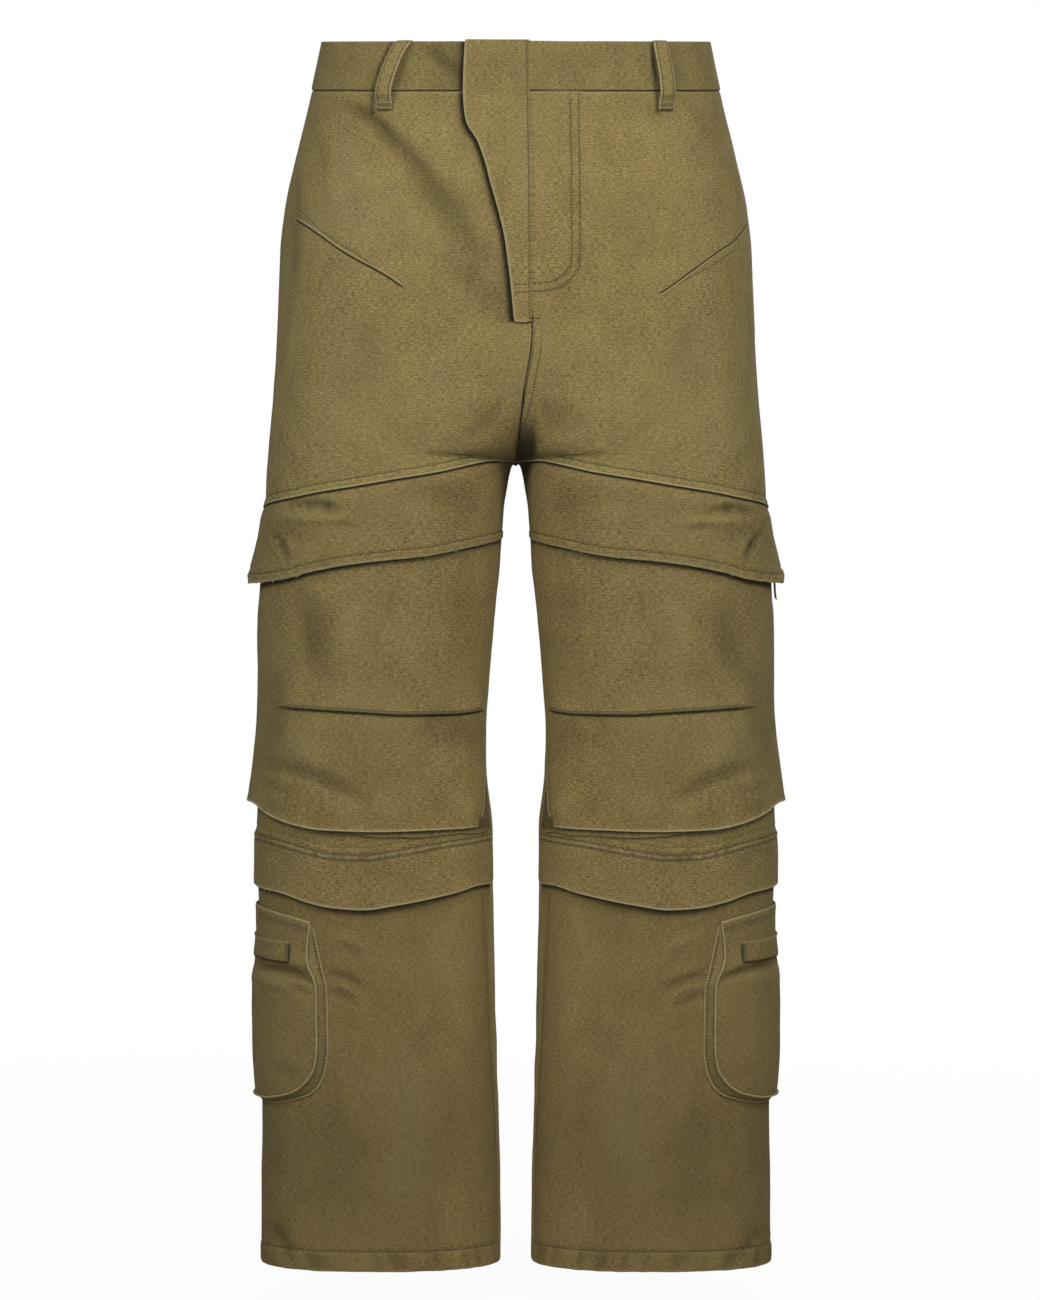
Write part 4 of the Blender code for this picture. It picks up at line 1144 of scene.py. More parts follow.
for word, side in SIDES.items():
    columns = (2.6, (0, 0.3, 0.7, 1.2, 2.0, 3.2, 5), (0, 0.25, 0.6, 1.1, 1.7, 2.4, 3, 3.6, 4.6))
    inner = lambda z: along(POCKET_INNER, POCKET_INNER_COLUMNS, "girth", z)
    share, offset = spread(LEG_ROUND, *columns)
    nominal = share + offset / LEG_ROUND
    top, fold = edge("thigh_seam")(nominal) - POCKET_DROP, edge("pleat")(nominal)
    foot = edge("pocket")(nominal)
    # Rows run down to the fold, back up behind it into the tuck, and down again below it.
    above, above_offset = spread(ABOVE_FOLD, 3.0, (0, 1), PLEAT_FOLD)
    below, below_offset = spread(BELOW_FOLD, 2.6, (0, 1.5, 3.5), (0, 0.3, 0.7, 1.2, 2.0, 3.2, 4.5))
    tuck = (ease((nominal - 0.22) / 0.10) * ease((0.925 - nominal) / 0.05))[:, None]
    upper = top[:, None] * (1 - above) + (fold[:, None] + 0.2) * above - above_offset
    lip = fold[:, None] + tuck * TUCK_RISE - (1 - tuck) * PLAIN_DROP
    low_top = fold[:, None] - 1.6
    lower = low_top * (1 - below) + foot[:, None] * below - below_offset
    heights = np.concatenate((upper, lip, lower), axis=1)
    girths = inner(heights) * share[:, None] + offset[:, None] / LEG_ROUND
    pocket = measured(side, girths, heights)
    z = pocket["base"][..., 2]
    n_above, n_lip = upper.shape[1], lip.shape[1]
    from_fold = np.abs(heights - fold[:, None])
    flap_foot = edge("flap")(nominal)[:, None]
    puff = ease(pocket["from_start"] / 24) * ease(pocket["from_end"] / 24)
    puff = puff * ease((flap_foot - heights - 4) / 26)
    hidden = ease((heights - flap_foot - 3) / 8)
    stand = 2.2 + 1.5 * puff + rumple(pocket["u"], z, 600 + side) + folds(pocket, POCKET_CREASES[side])
    stand = keep_above(stand - hidden, 1.7 - 0.9 * hidden)
    stand *= np.clip(pocket["from_end"] / 12, 0.35, 1)
    reach = along(STANDS, STAND_COLUMNS, "pocket", nominal)[:, None]
    swing = np.clip((fold[:, None] - heights) / (fold - foot)[:, None], 0, 1) ** 2
    stand += np.clip((reach - 2.2) * swing, 0, None)
    swelling = 1.5 * np.exp(-((from_fold / 9) ** 1.5)) * tuck
    step = np.zeros_like(stand)
    step[:, :n_above] = swelling[:, :n_above] - 0.35 * tuck * near(from_fold[:, :n_above], 0, 0.6)
    step[:, n_above : n_above + n_lip] = tuck * TUCK_STAND
    step[:, n_above + n_lip :] = -0.9 * np.exp(-from_fold[:, n_above + n_lip :] / 14) * tuck
    stand += step
    stand -= 0.5 * np.clip(1 - pocket["from_foot"] / 2.4, 0, 1) ** 2
    stand -= 0.3 * near(pocket["from_end"], 3.2, 0.7) + 0.35 * near(pocket["from_foot"], 7.5, 5) * swing
    raise_up(pocket, stand)
    # Painted shadow in the pleat's fold and under the flap's edge.
    lip_shade = np.zeros_like(stand)
    lip_shade[:, n_above + 1 : n_above + n_lip + 1] = 0.8 * tuck
    under_flap = flap_foot - heights
    lip_shade += 0.75 * ease(1.4 - under_flap / 3.5) + 0.15 * ease(1 - under_flap / 14)
    # Pale where the edges are worn, and a painted highlight on the pleat's ridge.
    wear_and_highlight = 0.95 * near(pocket["from_foot"], 0.6, 1.2) + 0.35 * near(pocket["from_end"], 0.4, 0.9)
    sew(
        f"thigh_pocket_{word}_cloth", pocket, LEG_CANVAS, thickness=1.0, rim=0.8,
        wear_and_highlight=wear_and_highlight + 0.30 * tuck * near(heights - fold[:, None], 1.2, 1.3), shade=lip_shade,
    )
    pockets[side] = pocket

    # Only the foot of the pocket's bag shows; its lower edge is uneven and rises at the side.
    bag = lay_out(
        side,
        (0.44, 0.935),
        lambda girths: edge("pocket")(girths) + 9,
        lambda girths: edge("pocket")(girths) - 4.8 + 1.2 * swell(girths * LEG_ROUND, 0, 17, 71 + side)
        + 6 * np.clip((0.56 - girths) / 0.12, 0, 1) ** 2,
        LEG_ROUND,
        (1.6, (0, 0.3, 0.7, 1.2), (0, 0.3, 0.7, 1.2)),
        (2.4, (0, 0.5), (0, 0.25, 0.6, 1.0, 1.6)),
    )
    wave = 0.35 * swell(bag["u"], 0, 8, 73 + side) * np.clip(1 - bag["from_foot"] / 6, 0, 1)
    raise_up(bag, 1.75 + wave - 0.3 * np.clip(1 - bag["from_foot"] / 2, 0, 1) ** 2)
    # Painted shadow just under the pocket's edge.
    under_pocket = edge("pocket")(bag["girth"]) - bag["height"]
    sew(
        f"pocket_bag_{word}", bag, LEG_CANVAS, thickness=0.9, rim=0.5, node="",
        wear_and_highlight=0.30 * near(bag["from_foot"], 0.2, 0.6), shade=0.65 * ease(1.4 - under_pocket / 3),
    )

# ------------------------------------------------------------------------------- thigh flaps
# A deep flap hangs over each thigh pocket from the seam, doubled and stitched round its edge. It
# flares at the side, and on the left a small tape tab hangs from its corner.
FLAP_STITCH, FLAP_END_STITCH = 7.8, 6.2     # rows above its foot, and beside its outer end
FLAP_FLARE = 1.25                           # the power by which it swings out towards its foot
FLAP_CREASES = {
    -1: (
        (-196, -408, -143, -412, 4, 4.0, -2.6, 0.3),
        (-173, -404, -171, -417, 0, 3.5, -1.2, 0.0),
        (-158, -402, -157, -416, 0, 3.5, -1.4, 0.0),
        (-204, -416, -136, -419, 1, 4.0, 1.8, 0.0),
        (-156, -423, -132, -424, 0, 3.5, -1.5, 0.2),
        (-204, -429, -190, -455, 3, 3.2, -2.6, 0.4),
        (-196, -432, -184, -452, 3, 4.0, 1.0, 0.0),
        (-205, -425, -160, -438, 4, 9, -0.8, 0.0),
        (-110, -395, -70, -420, -5, 13, 1.0, 0.0),
        (-96, -386, -40, -398, -3, 8, -1.0, 0.0),
        (-52, -392, -34, -424, 2, 9, -0.4, 0.0),
    ),
    1: (
        (202, -411, 157, -413, -5, 4.0, -2.4, 0.3),
        (177, -403, 178, -418, 0, 3.5, -1.4, 0.0),
        (192, -406, 191, -416, 0, 3.5, -1.0, 0.0),
        (200, -419, 130, -421, -1, 4.0, 1.7, 0.0),
        (162, -424, 140, -425, 0, 3.5, -1.2, 0.2),
        (208, -427, 191, -455, -3, 3.6, -2.9, -0.4),
        (199, -430, 184, -452, -3, 4.0, 1.2, 0.0),
        (200, -428, 158, -440, -4, 9, -0.8, 0.0),
        (104, -400, 66, -418, 5, 13, 0.9, 0.0),
        (48, -390, 34, -426, -2, 9, -0.4, 0.0),
    ),
}
flaps = {}
for word, side in SIDES.items():
    flap = lay_out(
        side,
        (0.0, 0.9985),
        lambda girths: edge("thigh_seam")(girths) - 0.7,
        lambda girths: edge("flap")(girths) + 6.0 * np.clip(1 - girths / 0.03, 0, 1) ** 2,
        LEG_ROUND,
        (1.9, (0, 0.3, 0.7, 1.2, 2, 3, 4, 5, 6, 7), (0, 0.3, 0.7, 1.2, 2, 3, 4)),
        (2.2, (0, 0.3, 0.7, 1.2, 2, 3, 4.2), (0, 0.3, 0.7, 1.2, 2, 3.2, 4.6, 6, 7, 7.6, 8.2, 8.8, 10)),
    )
    x, z = flap["base"][..., 0], flap["base"][..., 2]
    reach = along(STANDS, STAND_COLUMNS, "flap", flap["girth"])
    drop = flap["from_top"] / flap["from_top"][:, -1:]
    stand = 0.9 + 2.2 * np.clip(flap["from_top"] / 9, 0, 1) ** 0.7
    stand = stand + (reach - 3.1) * drop**FLAP_FLARE
    stand += 0.8 * rumple(flap["u"], z, 700 + side) + folds(flap, FLAP_CREASES[side], 1.25)
    strip = np.clip((FLAP_STITCH - flap["from_foot"]) / 2, 0, 1) * np.clip(flap["from_foot"] / 1.5, 0, 1)
    outer_end = 0.35 + 0.65 * np.clip(1 - flap["girth"] / 0.45, 0, 1)
    puckers = swell(flap["u"] + 0.5 * flap["from_foot"], 0, 3.6, 81 + side) * strip * outer_end
    stand += 0.45 * strip + 1.0 * puckers
    end_row = flap["from_start"] - FLAP_END_STITCH
    stand -= 0.55 * near(flap["from_foot"], FLAP_STITCH, 0.9) + 0.4 * near(end_row, 0, 0.9)
    stand -= 0.4 * np.clip(1 - flap["from_foot"] / 1.6, 0, 1) ** 2
    raise_up(flap, stand)
    border = np.minimum(flap["from_foot"], np.minimum(flap["from_start"], flap["from_end"] + 1.2))
    # Painted shade under the thigh seam, along the rows of stitches and in the puckers.
    dark = 0.95 * ease(1.4 - flap["from_top"] / 1.6) + 0.3 * near(flap["from_foot"], FLAP_STITCH, 0.6)
    dark += 0.3 * np.clip(-puckers, 0, 1) + 0.25 * near(end_row, 0, 0.6)
    if side > 0:
        # The left flap's inner corner has the fork's shadow painted on it.
        dark += 1.0 * ease((21 + 8 * np.clip((z - CROTCH) / 34, -1, 0) - x) / 7) * ease((z + 412) / 26)
    sew(
        f"thigh_flap_{word}_cloth", flap, LEG_CANVAS, thickness=2.0, rim=0.95,
        wear_and_highlight=0.95 * near(border, 0.6, 1.2), shade=dark,
    )
    flaps[side] = flap

RUST = canvas("rust_tape", (0.25, 0.135, 0.062, 1), pale=(0.40, 0.27, 0.15, 1))
tab = lay_out(
    1,
    (-0.018, 0.026),
    level(-438.0),
    lambda girths: -481.5 - 60 * (girths + 0.018),
    LEG_ROUND,
    (1.2, (0, 0.4), (0, 0.4)),
    (2.0, (0, 0.4), (0, 0.4, 1)),
)
raise_up(tab, 3.6 + 2.9 * np.clip((-440 - tab["height"]) / 42, 0, 1) + 0.3 * swell(tab["height"], 0, 9, 5))
sew(
    "flap_tab_left_cloth", tab, RUST, thickness=0.9, rim=0.4,
    wear_and_highlight=0.3 * near(tab["from_foot"], 0, 1.0),
)

# -------------------------------------------------------------------------------- knee flaps
# A strip of cloth, double-stitched along the knee seam, hangs free over the top of each shin.
KNEE_CREASES = {
    -1: (
        (-216, -690, -190, -716, 3, 7, -1.2, 0.2),
        (-196, -700, -150, -726, 4, 12, 0.9, 0.0),
        (-60, -706, -26, -720, 2, 10, -0.8, 0.0),
        (-130, -712, -80, -722, 3, 12, -0.6, 0.0),
    ),
    1: (
        (214, -692, 186, -716, -3, 7, -1.1, 0.2),
        (190, -704, 146, -728, -4, 12, 0.9, 0.0),
        (60, -706, 28, -722, -2, 10, -0.8, 0.0),
    ),
}
KNEE_ROWS = (1.6, 6.4)
knee_flaps = {}
for word, side in SIDES.items():
    flap = lay_out(
        side,
        (0.0, 0.9985),
        lambda girths: edge("knee_seam")(girths) + 1.0,
        lambda girths: edge("knee_flap")(girths)
        + 5.0 * np.clip((girths - 0.972) / 0.028, 0, 1) ** 2
        + 4.0 * np.clip(1 - girths / 0.02, 0, 1) ** 2,
        LEG_ROUND,
        (2.2, (0, 0.3, 0.7, 1.2, 2, 3, 4), (0, 0.3, 0.7, 1.2, 2, 3, 4, 5)),
        (2.4, (0, 0.3, 0.7, 1.2, 1.6, 2.2, 3.2, 4.6, 5.8, 6.4, 7, 8.2), (0, 0.3, 0.7, 1.2, 2, 3.2, 4.6)),
    )
    z = flap["base"][..., 2]
    reach = along(STANDS, STAND_COLUMNS, "knee_flap", flap["girth"])
    drop = flap["from_top"] / flap["from_top"][:, -1:]
    stand = 0.9 + 0.6 * np.clip(flap["from_top"] / 3, 0, 1) + (reach - 1.5) * np.clip(drop, 0, 1) ** 1.1
    stand += 0.7 * rumple(flap["u"], z, 800 + side) * np.clip(flap["from_top"] / 10, 0.1, 1)
    stand += folds(flap, KNEE_CREASES[side])
    rows = sum(near(flap["from_top"], row, 0.8) for row in KNEE_ROWS)
    between = near(flap["from_top"], 4.0, 1.8)
    puckers = swell(flap["u"] + 0.4 * flap["from_top"], 0, 4.4, 91 + side)
    stand += 0.65 * between * puckers - 0.6 * np.clip(rows, 0, 1)
    stand += 0.25 * puckers * near(flap["from_top"], 9, 3)
    stand -= 0.4 * np.clip(1 - flap["from_foot"] / 1.6, 0, 1) ** 2
    raise_up(flap, stand)
    border = np.minimum(flap["from_foot"], np.minimum(flap["from_start"] + 1.2, flap["from_end"] + 0.4))
    # Painted shade along the two rows of stitches and in the puckers between them.
    sew(
        f"knee_flap_{word}_cloth", flap, LEG_CANVAS, thickness=1.6, rim=0.8,
        wear_and_highlight=0.95 * near(border, 0.6, 1.15) + 0.18 * near(flap["from_top"], 4, 1.5) * (0.8 + puckers),
        shade=0.70 * np.clip(rows, 0, 1) + 0.35 * between * np.clip(-puckers, 0, 1),
    )
    knee_flaps[side] = flap

# ------------------------------------------------------------------------------ calf pockets
# A bellows pocket at the side of each calf: a face with piped edges, its open mouth lying flat, a
# gusset round the other three sides, and a welt on the face.
CALF_COLUMNS = ("z", "face_girth", "gusset_girth", "gusset_z", "stand")
CALF = (
    (-744, 0.362, 0.364, -746.0, 2.0),
    (-757, 0.360, 0.367, -759.5, 2.6),
    (-775, 0.351, 0.379, -777.5, 3.6),
    (-785, 0.350, 0.386, -788.0, 4.8),
    (-795, 0.357, 0.392, -797.0, 6.2),
    (-804, 0.373, 0.399, -806.0, 7.4),
    (-812, 0.379, 0.4035, -813.0, 8.2),
    (-835, 0.376, 0.401, -836.0, 8.9),
    (-863, 0.371, 0.397, -864.5, 9.1),
    (-880, 0.358, 0.383, -883.0, 8.8),
    (-890, 0.334, 0.363, -894.0, 8.3),
    (-898, 0.302, 0.330, -902.5, 7.8),
    (-904, 0.252, 0.266, -908.5, 7.4),
    (-908, 0.175, 0.185, -912.5, 7.2),
)
CALF_FOOT = CALF[-1][0]
CALF_WIDE, CALF_DEEP = 176, 158     # about how much cloth the face takes
CALF_ROUND = 262.0
CALF_RIM = (0, 0.5, 1.2, 2.2, 3.4)
MOUTH, MOUTH_DROP = -744.0, 12.0    # its height in the middle, and how much lower it ends
MOUTH_ROWS = (7.2, 9.4)
GUSSET_TOP = -757.0
GUSSET_ROWS = np.array((0, 0.06, 0.14, 0.24, 0.35, 0.48, 0.6, 0.67, 0.72, 0.77, 0.84, 0.92, 1.0))
BOTTOM = np.linspace(-1, 1, 15)[1:-1]
WELT_MIDDLE, WELT_REACH, WELT_HALF, WELT_BOW = -779.0, 0.291, 8.7, 3.4
CALF_CREASES = {
    -1: (
        (-226, -797, -164, -810, 4, 3.6, -4.2, 0.5),
        (-224, -808, -186, -813, 2, 4.0, 1.6, 0.0),
        (-202, -795, -166, -801, 1, 3.6, -1.9, 0.2),
        (-186, -812, -168, -818, 1, 3.6, -1.4, 0.0),
        (-205, -880, -180, -892, 3, 7, -1.3, 0.0),
    ),
    1: (
        (226, -796, 164, -809, -4, 3.6, -3.7, -0.5),
        (222, -806, 190, -811, -2, 4.0, 0.9, 0.0),
        (204, -882, 180, -890, -3, 7, -0.8, 0.0),
    ),
}


def round_pocket(line, behind=1, bottom=np.ones(len(BOTTOM))):
    """Values down behind, along the bottom and up in front, from those down one side."""
    return np.concatenate((behind * line, bottom * line[-1], line[::-1]))


calves = {}
for word, side in SIDES.items():
    across, across_offset = spread(CALF_WIDE, 2.4, CALF_RIM, CALF_RIM)
    share = 2 * (across + across_offset / CALF_WIDE) - 1
    down, down_offset = spread(CALF_DEEP, 2.4, (0, 0.4, 1.0, 1.8, 3, 4.5, 6, 7, 8, 9, 10.5), CALF_RIM)
    down = down + down_offset / CALF_DEEP
    top = MOUTH - MOUTH_DROP * share**2
    heights = top[:, None] * (1 - down) + CALF_FOOT * down
    girths = share[:, None] * along(CALF, CALF_COLUMNS, "face_girth", heights)
    face = measured(side, girths, heights)
    face["u"] = girths * CALF_ROUND
    x, z = face["base"][..., 0], face["base"][..., 2]
    rim_distance = np.minimum(np.minimum(face["from_start"], face["from_end"]), face["from_foot"])
    stand = along(CALF, CALF_COLUMNS, "stand", z) + 0.9 * rumple(face["u"], z, 900 + side)
    # Behind, where nothing pulls on it, the pocket creases like the front, a little higher up.
    in_front, behind = creases(x, z, CALF_CREASES[side]), 0.8 * creases(x, z - 6, CALF_CREASES[side])
    face["fold"] = np.where(face["girth"] < 0, behind, in_front)
    stand += face["fold"]
    stand += 0.9 * np.clip(rim_distance / 9, 0, 1) ** 0.6 - 0.9
    first, second = MOUTH_ROWS
    stand += 0.35 * near(face["from_top"], 3.6, 2.5) - 0.35 * near(face["from_top"], first, 0.8)
    stand -= 0.3 * near(face["from_top"], second, 0.8)
    raise_up(face, np.maximum(stand, 1.9))
    sew(
        f"calf_pocket_{word}_cloth", face, SHIN_CANVAS, thickness=1.1, rim=0.6,
        wear_and_highlight=0.75 * near(face["from_top"], 0.3, 1.0) + 0.35 * near(rim_distance, 0.6, 0.8),
    )

    # The gusset's outline runs down behind, along the bottom and up in front.
    levels, _ = spread(1, 0.016)
    line = GUSSET_TOP + (CALF_FOOT - GUSSET_TOP) * levels
    read = lambda column: along(CALF, CALF_COLUMNS, column, line)
    top_girth = round_pocket(read("face_girth"), -1, BOTTOM)[:, None]
    foot_girth = round_pocket(read("gusset_girth"), -1, BOTTOM)[:, None]
    top_height, foot_height = round_pocket(line)[:, None], round_pocket(read("gusset_z"))[:, None]
    top_stand = round_pocket(read("stand") - 0.9)[:, None]
    t = GUSSET_ROWS
    gusset = measured(side, top_girth * (1 - t) + foot_girth * t, top_height * (1 - t) + foot_height * t)
    stand = np.maximum(top_stand - 0.3, 0.9) * (1 - t) ** 1.3 + 0.7
    raise_up(gusset, stand - 0.5 * np.sin(np.pi * t) * np.clip(top_stand / 6, 0, 1))
    gusset["u"] = 14 * t + 0 * stand
    gusset["height"] = border_distances(gusset["points"])[0][:, :1] + 0 * stand
    # Painted shade beside the face's piping, and a painted dark line along the row of stitches.
    sew(
        f"calf_gusset_{word}_cloth", gusset, LEG_CANVAS, thickness=0.9, rim=0.4,
        shade=0.45 * ease(1 - t / 0.3) + 0.3 * near(t, 0.78, 0.06),
    )

    welt = lay_out(
        side,
        (-WELT_REACH, WELT_REACH),
        lambda girths: WELT_MIDDLE + WELT_HALF - WELT_BOW * np.abs(girths) / WELT_REACH,
        lambda girths: WELT_MIDDLE - WELT_HALF - WELT_BOW * np.abs(girths) / WELT_REACH,
        CALF_ROUND,
        (2.2, (0, 0.4, 0.9), (0, 0.4, 0.9)),
        (2.0, (0, 0.3, 0.7, 1.2), (0, 0.3, 0.7, 1.2)),
    )
    stand = along(CALF, CALF_COLUMNS, "stand", welt["height"]) + 0.9
    stand += 0.15 * swell(welt["u"], welt["height"], 9, 33)
    stand += 0.25 * near(welt["from_top"], 1.0, 0.8) - 0.5 * near(welt["from_foot"], 0, 0.9)
    raise_up(welt, stand)
    # Painted shadow along the welt's lower edge.
    sew(
        f"calf_welt_{word}_cloth", welt, SHIN_CANVAS, thickness=1.1, rim=0.5,
        wear_and_highlight=0.8 * near(welt["from_top"], 0.4, 0.9), shade=0.6 * near(welt["from_foot"], 0.2, 0.9),
    )
    calves[side] = (face, gusset, welt)

# ------------------------------------------------------------------------ piping and ridges
# Narrow rolls of cloth: the piping round the calf pockets, the ridges where seam allowances press
# through beside the seams, the raised darts on the hips, and the allowances inside. Dark rolls
# along the darts and round the welts are painted shadow.
SMOOTHING = np.ones(5) / 5
ROLL_SIDES = 8


def beside(piece, name, distance, first=0.0, last=1.0):
    """Points and normals on a piece that keep a distance from one of its borders."""
    field, points, normals = piece[name], piece["points"], piece["normal"]
    if name in ("from_start", "from_end"):
        field, points, normals = field.T, points.swapaxes(0, 1), normals.swapaxes(0, 1)
    if field[0, -1] < field[0, 0]:
        field, points, normals = field[:, ::-1], points[:, ::-1], normals[:, ::-1]
    found = np.array([
        [np.interp(distance, f, values[:, k]) for values in (p, n) for k in range(3)]
        for f, p, n in zip(field, points, normals)
    ])
    share = np.linspace(0, 1, len(found))
    kept = found[(share >= first) & (share <= last)]
    return kept[:, :3], kept[:, 3:]


def bend(rows, count=60):
    """A smooth curve through places, by Catmull and Rom's cubic."""
    rows = np.array(rows, float)
    rows = np.concatenate((2 * rows[:1] - rows[1:2], rows, 2 * rows[-1:] - rows[-2:-1]))
    t = np.linspace(0, len(rows) - 3 - 1e-9, count)
    i = t.astype(int)
    s = (t - i)[:, None]
    a, b, c, d = rows[i], rows[i + 1], rows[i + 2], rows[i + 3]
    return 0.5 * (2 * b + (c - a) * s + (2 * a - 5 * b + 4 * c - d) * s**2 + (3 * b - a - 3 * c + d) * s**3)


def face_on(piece, places):
    """Points and normals where lines running backwards through places first meet a piece."""
    corners, faces = piece["skin"]
    tree = BVHTree.FromPolygons((corners * MM).astype(np.float32).tolist(), faces.tolist())
    hits = [tree.ray_cast(Vector((x * MM, -1.0, z * MM)), Vector((0, 1, 0))) for x, z in places]
    hits = [hit for hit in hits if hit[0] is not None]
    points = np.array([hit[0] for hit in hits]) / MM
    normals = np.array([hit[1] for hit in hits])
    padded = np.concatenate((normals[:1], normals[:1], normals, normals[-1:], normals[-1:]))
    return points, unit(np.stack([np.convolve(padded[:, k], SMOOTHING, "valid") for k in range(3)], axis=1))


def even(points, normals, pitch):
    """Places at even steps of length along a line: points, directions and normals."""
    length = np.concatenate(((0,), np.cumsum(np.linalg.norm(np.diff(points, axis=0), axis=1))))
    count = max(2, int(round(length[-1] / pitch)))
    where = (np.arange(count) + 0.5) * length[-1] / count
    read = lambda values, s: np.stack([np.interp(s, length, values[:, k]) for k in range(3)], axis=1)
    ahead = unit(read(points, where + 0.6) - read(points, where - 0.6))
    up = read(normals, where)
    return read(points, where), ahead, unit(up - np.sum(up * ahead, axis=1, keepdims=True) * ahead)


def sunk(line, depth, lift=0.0):
    """A line of points and normals moved down into the cloth, and up by the lift."""
    points, normals = line
    return points + (0, 0, lift) - depth * normals, normals


def roll(name, lines, finish, wear_and_highlight=0.0, shade=0.0, step=1.6):
    """Closed rounded rolls along lines of (points, normals, width, height), tapering at the ends."""
    angle = np.arange(ROLL_SIDES) * 2 * np.pi / ROLL_SIDES
    corners, faces, places, total = [], [], [], 0
    for points, normals, width, height in lines:
        middle, ahead, up = even(points, normals, step * COARSE)
        over = np.cross(up, ahead)
        count = len(middle)
        run = (np.arange(count) + 0.5) * step * COARSE
        from_tip = np.minimum(run, run[-1] + run[0] - run)
        taper = np.sqrt(np.clip(from_tip / (3 * width), 0.02, 1))[:, None, None]
        ring = over[:, None] * np.cos(angle)[:, None] * width / 2
        ring = ring + up[:, None] * np.sin(angle)[:, None] * height
        body = middle[:, None] + ring * taper
        grid = total + np.arange(count * ROLL_SIDES).reshape(count, ROLL_SIDES)
        after = np.roll(grid, -1, axis=1)
        faces.append(np.stack((grid[:-1], grid[1:], after[1:], after[:-1]), axis=-1).reshape(-1, 4))
        total = grid[-1, -1] + 3
        for cap, row, turn in ((total - 2, grid[0], 1), (total - 1, grid[-1], -1)):
            tips = np.full(ROLL_SIDES // 2, cap)
            fan = np.stack((tips, row[0::2], row[1::2], np.roll(row, -2)[0::2]), axis=-1)
            faces.append(fan[:, ::turn])
        corners.append(np.concatenate((body.reshape(-1, 3), middle[[0, -1]])))
        around, onwards = np.tile(angle * width / 2, count), np.repeat(run, ROLL_SIDES)
        places.append(np.stack((np.append(around, (0, 0)), np.append(onwards, (0, run[-1]))), axis=-1))
    faces = np.concatenate(faces)
    made = new_mesh(name, np.concatenate(corners), faces, finish)
    for layer, value in (("wear_and_highlight", wear_and_highlight), ("lit_and_faded", 0.0), ("shade", shade)):
        paint(made, layer, np.full(total, value))
    lay_map(made, np.concatenate(places), faces)


# Two lines on each hip: the dart's raised fold, and the row of stitches beside it.
DARTS = {
    -1: (
        ((-187, -161), (-166, -177), (-142, -195), (-109, -214), (-93, -225)),
        ((-185, -152), (-160, -177), (-130, -198), (-105, -216), (-95, -224)),
    ),
    1: (
        ((199.5, -161), (185, -181), (171.6, -191.4), (131.6, -222.2), (119, -230.5)),
        ((189.2, -185.7), (165.4, -203.2), (137.6, -219.7), (123, -229.5)),
    ),
}
# The double row that runs down beside the fly and turns in at its foot.
FLY_CURVES = (
    ((52.3, -65), (53, -120), (53.3, -198), (49.3, -212.9), (38.5, -223.7), (23.6, -227.7), (13.6, -227.9)),
    ((45.8, -65), (46.4, -120), (46.6, -198), (43.5, -209.5), (35.1, -217.9), (23.6, -221), (13.6, -221.3)),
)
ridges, shadow_lines, pressed = [], [], []
for side in (-1, 1):
    dart = face_on(hips[side], bend(DARTS[side][0]))
    shadow_lines.append((*sunk(dart, 0, 0.5 * side), 1.4 - 0.2 * side, 0.45))
    ridges.append((*sunk(dart, 0, -1.2 * side), 1.8, 0.5))
    pressed.append((*beside(shins[side], "from_end", 1.9), 1.6, 0.5))
    pressed.append((*beside(pockets[side], "from_end", 0.9), 1.2, 0.3))
    welt = calves[side][2]
    for border in ("from_start", "from_foot", "from_end"):
        shadow_lines.append((*sunk(beside(welt, border, 0.0), 0.1), 1.7, 0.5))
    pressed.append((*beside(welt, "from_top", 0.3), 1.3, 0.6))
ridges.append((*beside(hips[-1], "from_end", 0.8, 0.62, 0.99), 1.2, 0.5))
roll("seam_ridges", ridges, CANVAS, wear_and_highlight=0.5)
roll("leg_ridges", pressed, LEG_CANVAS, wear_and_highlight=0.35)
# Painted shadow: dark rolls where the darts' folds and the welts' edges cast shade.
roll("seam_shadows", shadow_lines, CANVAS, shade=0.95)
# Turned edges are two layers thick, and rubbed pale.
hip_edges = [(*sunk(beside(fly, border, 0.35), 0.85), 1.5, 0.9) for border in ("from_start", "from_foot")]
leg_edges = []
for side in (-1, 1):
    hip_edges.append((*sunk(beside(hips[side], "from_foot", 1.3), -0.1), 1.6, 0.7))
    for piece, border, first, last, depth in (
        (flaps[side], "from_foot", 0.0, 0.985, 0.85),
        (flaps[side], "from_start", 0.05, 1.0, 0.85),
        (pockets[side], "from_foot", 0.0, 1.0, 0.45),
        (pockets[side], "from_end", 0.66, 1.0, 0.45),
        (knee_flaps[side], "from_foot", 0.0, 0.99, 0.7),
    ):
        leg_edges.append((*sunk(beside(piece, border, 0.35, first, last), depth), 1.6, 0.95))
roll("hip_edges", hip_edges, CANVAS, wear_and_highlight=1.0)
roll("leg_edges", leg_edges, LEG_CANVAS, wear_and_highlight=1.0)
# The allowance in the centre front seam closes the gap between its two sides.
middle = [beside(bands[1], "from_end", 0.0), beside(hips[1], "from_end", 0.0, 0.0, 0.6)]
roll("centre_allowance", [(*sunk(line, 0.7), 1.8, 0.6) for line in middle], CANVAS, wear_and_highlight=0.35)
# Inside, the other seams' allowances lie over the joins; where they show in the seams' grooves they are
# darkened with painted shade.
allowances = []
for side in (-1, 1):
    for piece, border, lift, depth, width, height in (
        (backs[side], "from_start", 0, 1.5, 3.0, 1.1),
        (backs[side], "from_end", 0, 1.5, 3.0, 1.1),
        (bands[side], "from_start", 0, 1.5, 3.0, 1.1),
        (backs[side], "from_top", 1.0, 1.8, 5.0, 1.4),
        (hips[side], "from_top", 1.0, 1.8, 5.0, 1.4),
    ):
        allowances.append((*sunk(beside(piece, border, 0.0), depth, lift), width, height))
